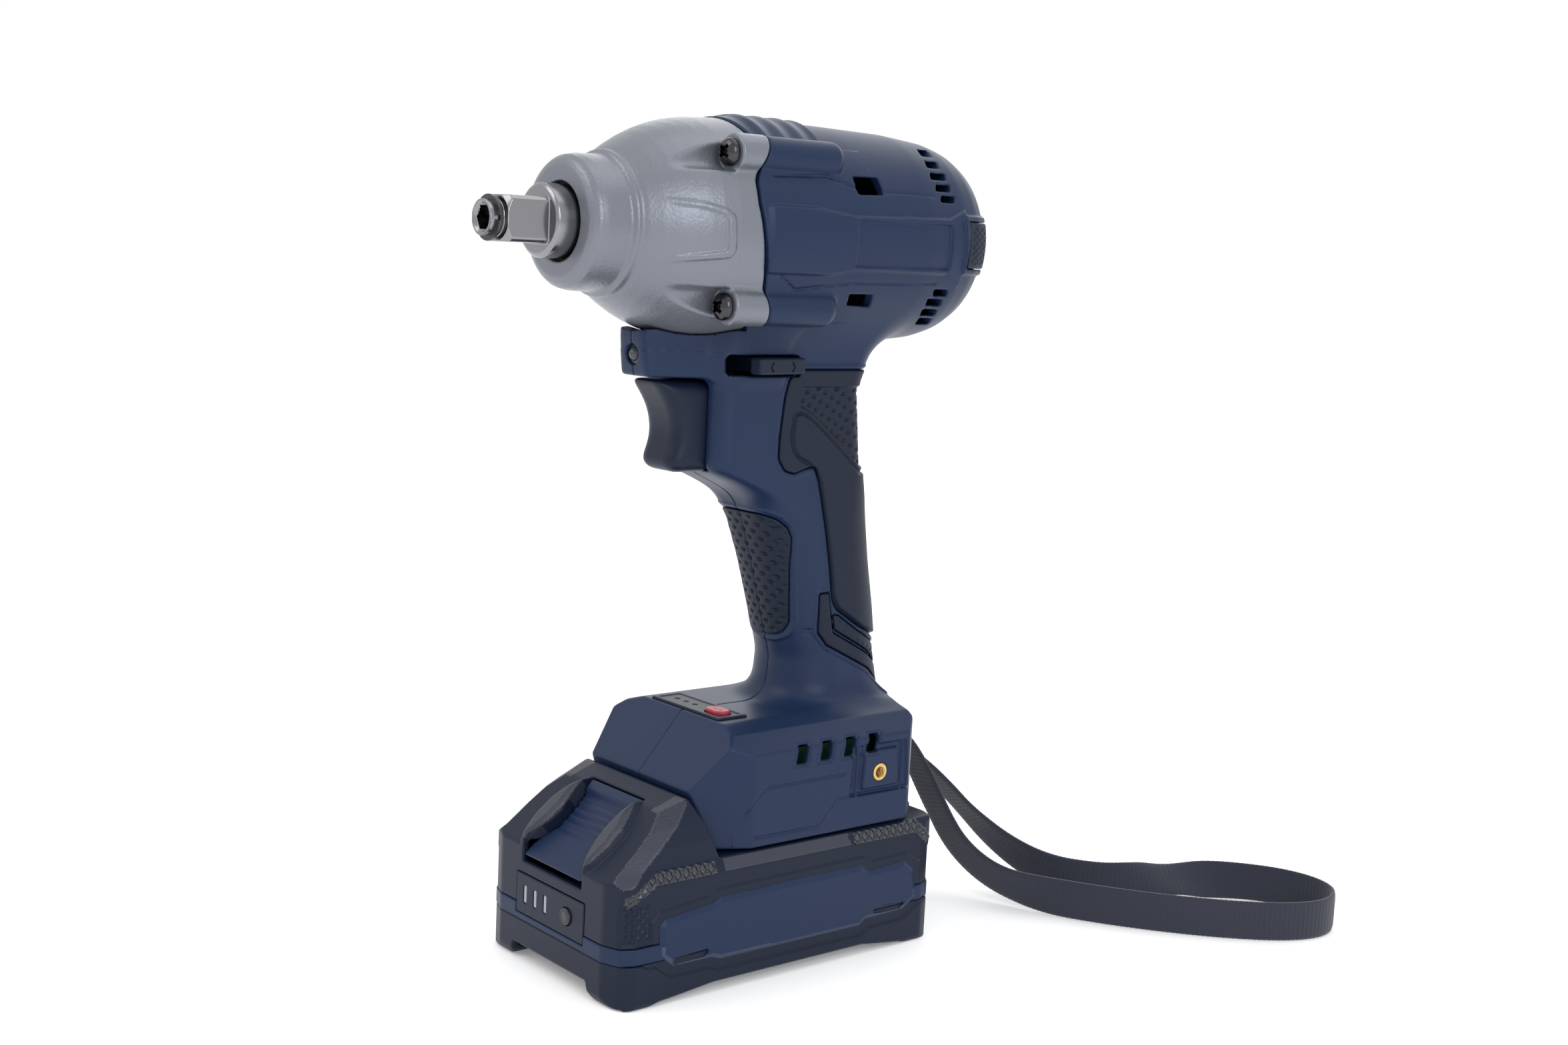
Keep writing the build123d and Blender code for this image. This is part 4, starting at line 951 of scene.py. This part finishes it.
SIDE_FRAME = Outline([
    (-62.6, 30.6), (-51.5, 35.4), (51, 35.4), (57.8, 30), (57.8, 18.6), (52.6, 18.6), (52.2, 25.6),
    (46, 29.3), (31.6, 29), (28, 31), (-30, 30.6), (-33, 29), (-50.2, 27.4), (-52.6, 24.6), (-52.4, 18.6),
    (-62.6, 18.6)], soft=0.4)
FLANK = math.atan2(20.7, 24.6)   # the front slope's angle
RIDGE_Y, RIDGE_Z = -40.1, 56.7   # where it starts


def on_slope(y, z):
    """Distance down the front slope from the ridge, and distance out of it."""
    back, drop = y - RIDGE_Y, z - RIDGE_Z
    return -back * math.cos(FLANK) - drop * math.sin(FLANK), -back * math.sin(FLANK) + drop * math.cos(FLANK)


WELL_FLOOR = 31.2        # height of the well's lower end
RELEASE_TRAVEL = 3.0     # the button's travel down the slope
RELEASE_DROP = 2.1       # how far that lowers it, and a little more
RELEASE_WELL = Outline(mirrored(
    (14.2, 2.6), (13.2, 9), (11.6, 17), (12.2, 22), (15.6, 29), (15.6, 42)), soft=1.0)
LOBE = Outline([
    (13.6, 4), (16.2, 9), (18.6, 15), (19.0, 22), (17.6, 29.5), (15.4, 31), (12.6, 22), (12, 16)], soft=1.5)


def pyramids(u, v, pitch=3.0, depth=0.9):
    """A knurl of small four-sided points."""
    a = abs((u + v) / pitch - np.round((u + v) / pitch)) * 2
    b = abs((u - v) / pitch - np.round((u - v) / pitch)) * 2
    return depth * (1 - maximum(a, b))


def slope_chamfer(x, y, z):
    """The wide chamfer between the front slope and the top case's sides."""
    return (on_slope(y, z)[1] + TOP_FRONT(x, z)) * DIAGONAL + 2.3


def battery_top(x, y, z):
    ax = abs(x)
    t, n = on_slope(y, z)
    d = meet(0.8, PACK_PLAN(x, y), TOP_SIDE(y, z), TOP_FRONT(x, z))
    d = smax(d, slope_chamfer(x, y, z), 0.3)
    # Lobes either side of the release.
    lobe = inside(LOBE(ax, t), 1.8) * ease((z - 30) / 3)
    d = d - 3.0 * lobe * ease((n + 4) / 4) * (y < -38)
    side = ease((ax - 31.5) / 1.2)
    lift = -0.55 * inside(SIDE_FRAME(y, z), 0.4)
    knurl = sum(inside(k(y, z), 0.3) for k in KNURL_STRIPS)
    lift = lift + knurl * pyramids(y, z)
    d = d - lift * side
    room = meet(0.8, PACK_PLAN(x, y) + PACK_WALL, slab(z, 0, 37.1))
    hollow = brick(x, y, z, (-14.5, -50, 30), (14.5, -31, 42), 0.5)
    d = smax(d, -minimum(room, hollow), 0.4)
    stem = minimum(brick(x, y, z, (-17.5, -30, 38), (17.5, 37.4, 46), 0.5),
                      brick(x, y, z, (-21.5, -30, 45.3), (21.5, 37.4, 51), 0.5))
    d = minimum(d, stem)
    for cx in (4, 12):
        d = maximum(d, -brick(ax, y, z, (cx - 1.4, 25, 46.4), (cx + 1.4, 38, 60), 0.1))
    well = common(RELEASE_WELL(x, t), -n - 5.2, y + 40.8, WELL_FLOOR - z)
    d = smax(d, -well, 0.7)
    hole = disc(x - GAUGE_X, z - GAUGE_Z, y, 2.75, -80, -61)
    d = smax(d, -join(0.1, brick(x, y, z, *GAUGE_RECESS, 0.3), hole), 0.35)
    for y0 in PACK_SCREW_Y:
        d = minimum(d, tube(hypot(ax - PACK_SCREW_X, y - y0), 3.4, 1.5, slab(z, 13, 38)))
    return smax(d, 18.08 - z, 0.35)


def battery_band(x, y, z):
    plan = PACK_PLAN(x, y)
    d = smax(maximum(plan - 0.15, -(plan + PACK_WALL)), slab(z, 13.05, 17.95), 0.4)
    return smax(d, -brick(x, y, z, *GAUGE_RECESS, 0.2), 0.3)


FEET_FRONT = Outline(mirrored((-36.5, 20), (-36.5, 2.4), (-34, 0), (-22, 0), (-20.2, 2), (-19.4, 5)))
FEET_SIDE = Outline([
    (-66, 20), (-65.2, 3), (-63, 0), (-54, 0), (-50, 1.6), (-30, 3.6), (28, 3.6), (44, 1.4), (48, 0),
    (57, 0), (60.5, 3.4), (60.6, 20)])
SKIRT = Outline([
    (-66, 13.2), (-57, 13.2), (-54.4, 11.6), (-51.6, 11.6), (-46.4, 7.6), (-31.6, 7.4), (-29, 6.2),
    (28.4, 6), (30.6, 7.8), (46, 8.2), (52.2, 12.2), (56, 13.2), (61, 13.2), (61, -2), (-66, -2)], soft=0.5)


def battery_bottom(x, y, z):
    ax = abs(x)
    plan = PACK_PLAN(x, y)
    d = meet(0.8, plan, FEET_FRONT(x, z), FEET_SIDE(y, z))
    # The lower skirt stands proud on the sides, under the navy panels.
    side = ease((ax - 33) / 1.2)
    d = d - 0.75 * side * inside(SKIRT(y, z), 0.35) * ease((y + 63) / 3) * ease((58.5 - y) / 3)
    room = meet(0.5, plan + PACK_WALL, slab(z, 3.2 + 3.2 * (ax < 19.4), 30))
    d = smax(d, -room, 0.4)
    for y0 in PACK_SCREW_Y:
        rr = hypot(ax - PACK_SCREW_X, y - y0)
        d = minimum(d, maximum(rr - 3.9, slab(z, 1, 13)))
        d = smax(d, -minimum(maximum(rr - 3.4, z - 4), rr - 1.6), 0.3)
    d = smax(d, z - 12.95, 0.35)
    return maximum(d, -z)


def side_panels(x, y, z):
    ax = abs(x)
    shape = SIDE_NAVY(y, z)
    d = meet(0.9, shape, ax - 36.0)
    d = smax(d, ax - 36.0 + 0.55 * maximum(shape + 2.2, 0), 0.3)
    for slot in SIDE_SLOTS:
        d = smax(d, -maximum(slot(y, z), 34.6 - ax), 0.3)
    return maximum(d, 34.7 - ax)


def battery_release(x, y, z):
    t, n = on_slope(y, z)
    # Ribs across its middle, in front of a step up to the smooth end.
    ribs = 0.45 * abs((t / 2.5) - np.round(t / 2.5)) * 2 * inside(slab(t, 9.0, 20.2), 0.5)
    face = n + 1.0 + 1.5 * ease((t - 6.0) / 2.5) - ribs - 0.4 * ease((t - 21) / 2)
    pressed = RELEASE_WELL(x, t + RELEASE_TRAVEL) + 0.2
    d = meet(0.6, RELEASE_WELL(x, t) + 0.35, pressed, face, -n - 5.0, WELL_FLOOR + RELEASE_DROP - z, 3.0 - t)
    spring = meet(0.2, slab(x, -2.6, 2.6), slab(t, 20.6, 36), slab(n, -6, -2.95))
    return smax(smax(d, -(y + 64.5), 0.4), -spring, 0.2)


def gauge_panel(x, y, z):
    d = meet(0.3, slab(x, -17.9, 17.9), slab(z, 15.2, 27.5), slab(y, -64.75, -63.4))
    d = smax(d, -(hypot(x - GAUGE_X, z - GAUGE_Z) - 2.75), 0.25)
    for cx in GAUGE_LIGHTS:
        d = smax(d, -brick(x, y, z, (cx - 0.8, -70, 18.7), (cx + 0.8, -60, 24.1), 0.3), 0.2)
    return d


def gauge_lights(x, y, z):
    nearest = reduce(minimum, [abs(x - cx) for cx in GAUGE_LIGHTS])
    return meet(0.25, nearest - 0.75, slab(z, 18.75, 24.05), slab(y, -64.6, -63.5))


def gauge_button(x, y, z):
    r = hypot(x - GAUGE_X, z - GAUGE_Z)
    d = meet(0.5, r - 2.55, slab(y, -65.5, -63.2))
    return d + 0.25 * inside(abs(r - 1.75) - 0.15, 0.2)


def on_knurl(x, y, z):
    return (abs(x) > 33.5) & (sum(inside(k(y, z), 0.1) for k in KNURL_STRIPS[::2]) > 0.5)


def on_grained(x, y, z):
    """The chamfers beside the front slope, the lobes, and the narrow band along the shoulder."""
    ax = abs(x)
    t, n = on_slope(y, z)
    chamfer = (y < -36) & (ax > 21) & (slope_chamfer(x, y, z) > -0.3)
    lobes = (LOBE(ax, t) < 0) & (n > -3) & (y < -38)
    shoulder = (ax > 32) & (slab(y, -27, 22) < 0) & (slab(z, 35.6, 39) < 0)
    return chamfer | lobes | shoulder


solid("battery_top_shell", battery_top, (-36, -66, 17.5), (36, 61, 59), 0.5, ["battery_top_case"],
      [("spark_black", on_grained), ("gloss_black", on_knurl)])
solid("battery_band_ring", battery_band, (-36, -66, 12.8), (36, 61, 18.2), 0.5, ["battery_band"])
solid("battery_bottom_shell", battery_bottom, (-37, -67, -0.4), (37, 61.5, 13.4), 0.5,
      ["battery_bottom_case"])
solid("battery_side_panel_pair", side_panels, (-36.5, -52, 7), (36.5, 53, 30.5), 0.45,
      ["battery_side_panels"],
      [("spark_navy", lambda x, y, z: (SIDE_NAVY(y, z) > -2.0) & (z < 17))])
solid("battery_release_button", battery_release, (-16, -66, 30), (16, -40, 56.7), 0.3, ["battery_release"])
solid("gauge_panel_plate", gauge_panel, (-18.5, -65.5, 14.8), (18.5, -63, 28), 0.3, ["gauge_panel"])
solid("gauge_light_windows", gauge_lights, (-15, -65.2, 18.4), (-1.4, -63.2, 24.4), 0.2, ["gauge_lights"])
solid("gauge_button_cap", gauge_button, (6, -66, 18.4), (12, -63, 24.2), 0.2, ["gauge_button"])


# ---- Floor and lights ----
def make_stage():
    bpy.ops.mesh.primitive_plane_add(size=40, location=(0, 0, -0.0002))
    floor = bpy.context.object
    floor.name = "floor"
    floor.data.materials.append(material("floor_paint", (0.9, 0.9, 0.905), 0.8, 0, 0.01, 3, 0,
                                         {"Emission Color": (1, 1, 1, 1), "Emission Strength": 0.16}))
    for name, at, size, power, colour in (
            ("key", (-0.5, -1.1, 1.3), 1.0, 6.5, (1, 0.99, 0.97)),
            ("side", (1.3, -0.3, 0.75), 0.8, 7, (0.95, 0.97, 1)),
            ("top", (0.1, 0.4, 1.6), 1.2, 4, (1, 1, 1)),
            ("back", (-0.9, 1.1, 0.8), 1.2, 4, (0.97, 0.98, 1))):
        data = bpy.data.lights.new(name, "AREA")
        data.shape, data.size, data.energy, data.color = "SQUARE", size, power, colour
        light = bpy.data.objects.new(name, data)
        bpy.context.scene.collection.objects.link(light)
        light.location = at
        light.rotation_euler = (Vector((0, 0.02, 0.13)) - Vector(at)).to_track_quat("-Z", "Y").to_euler()
    world = bpy.data.worlds.new("studio")
    bpy.context.scene.world = world
    world.use_nodes = True
    world.node_tree.nodes["Background"].inputs["Color"].default_value = (1.0, 1.0, 1.0, 1)
    world.node_tree.nodes["Background"].inputs["Strength"].default_value = 1.0


make_stage()
bpy.context.scene.view_settings.view_transform = "Standard"
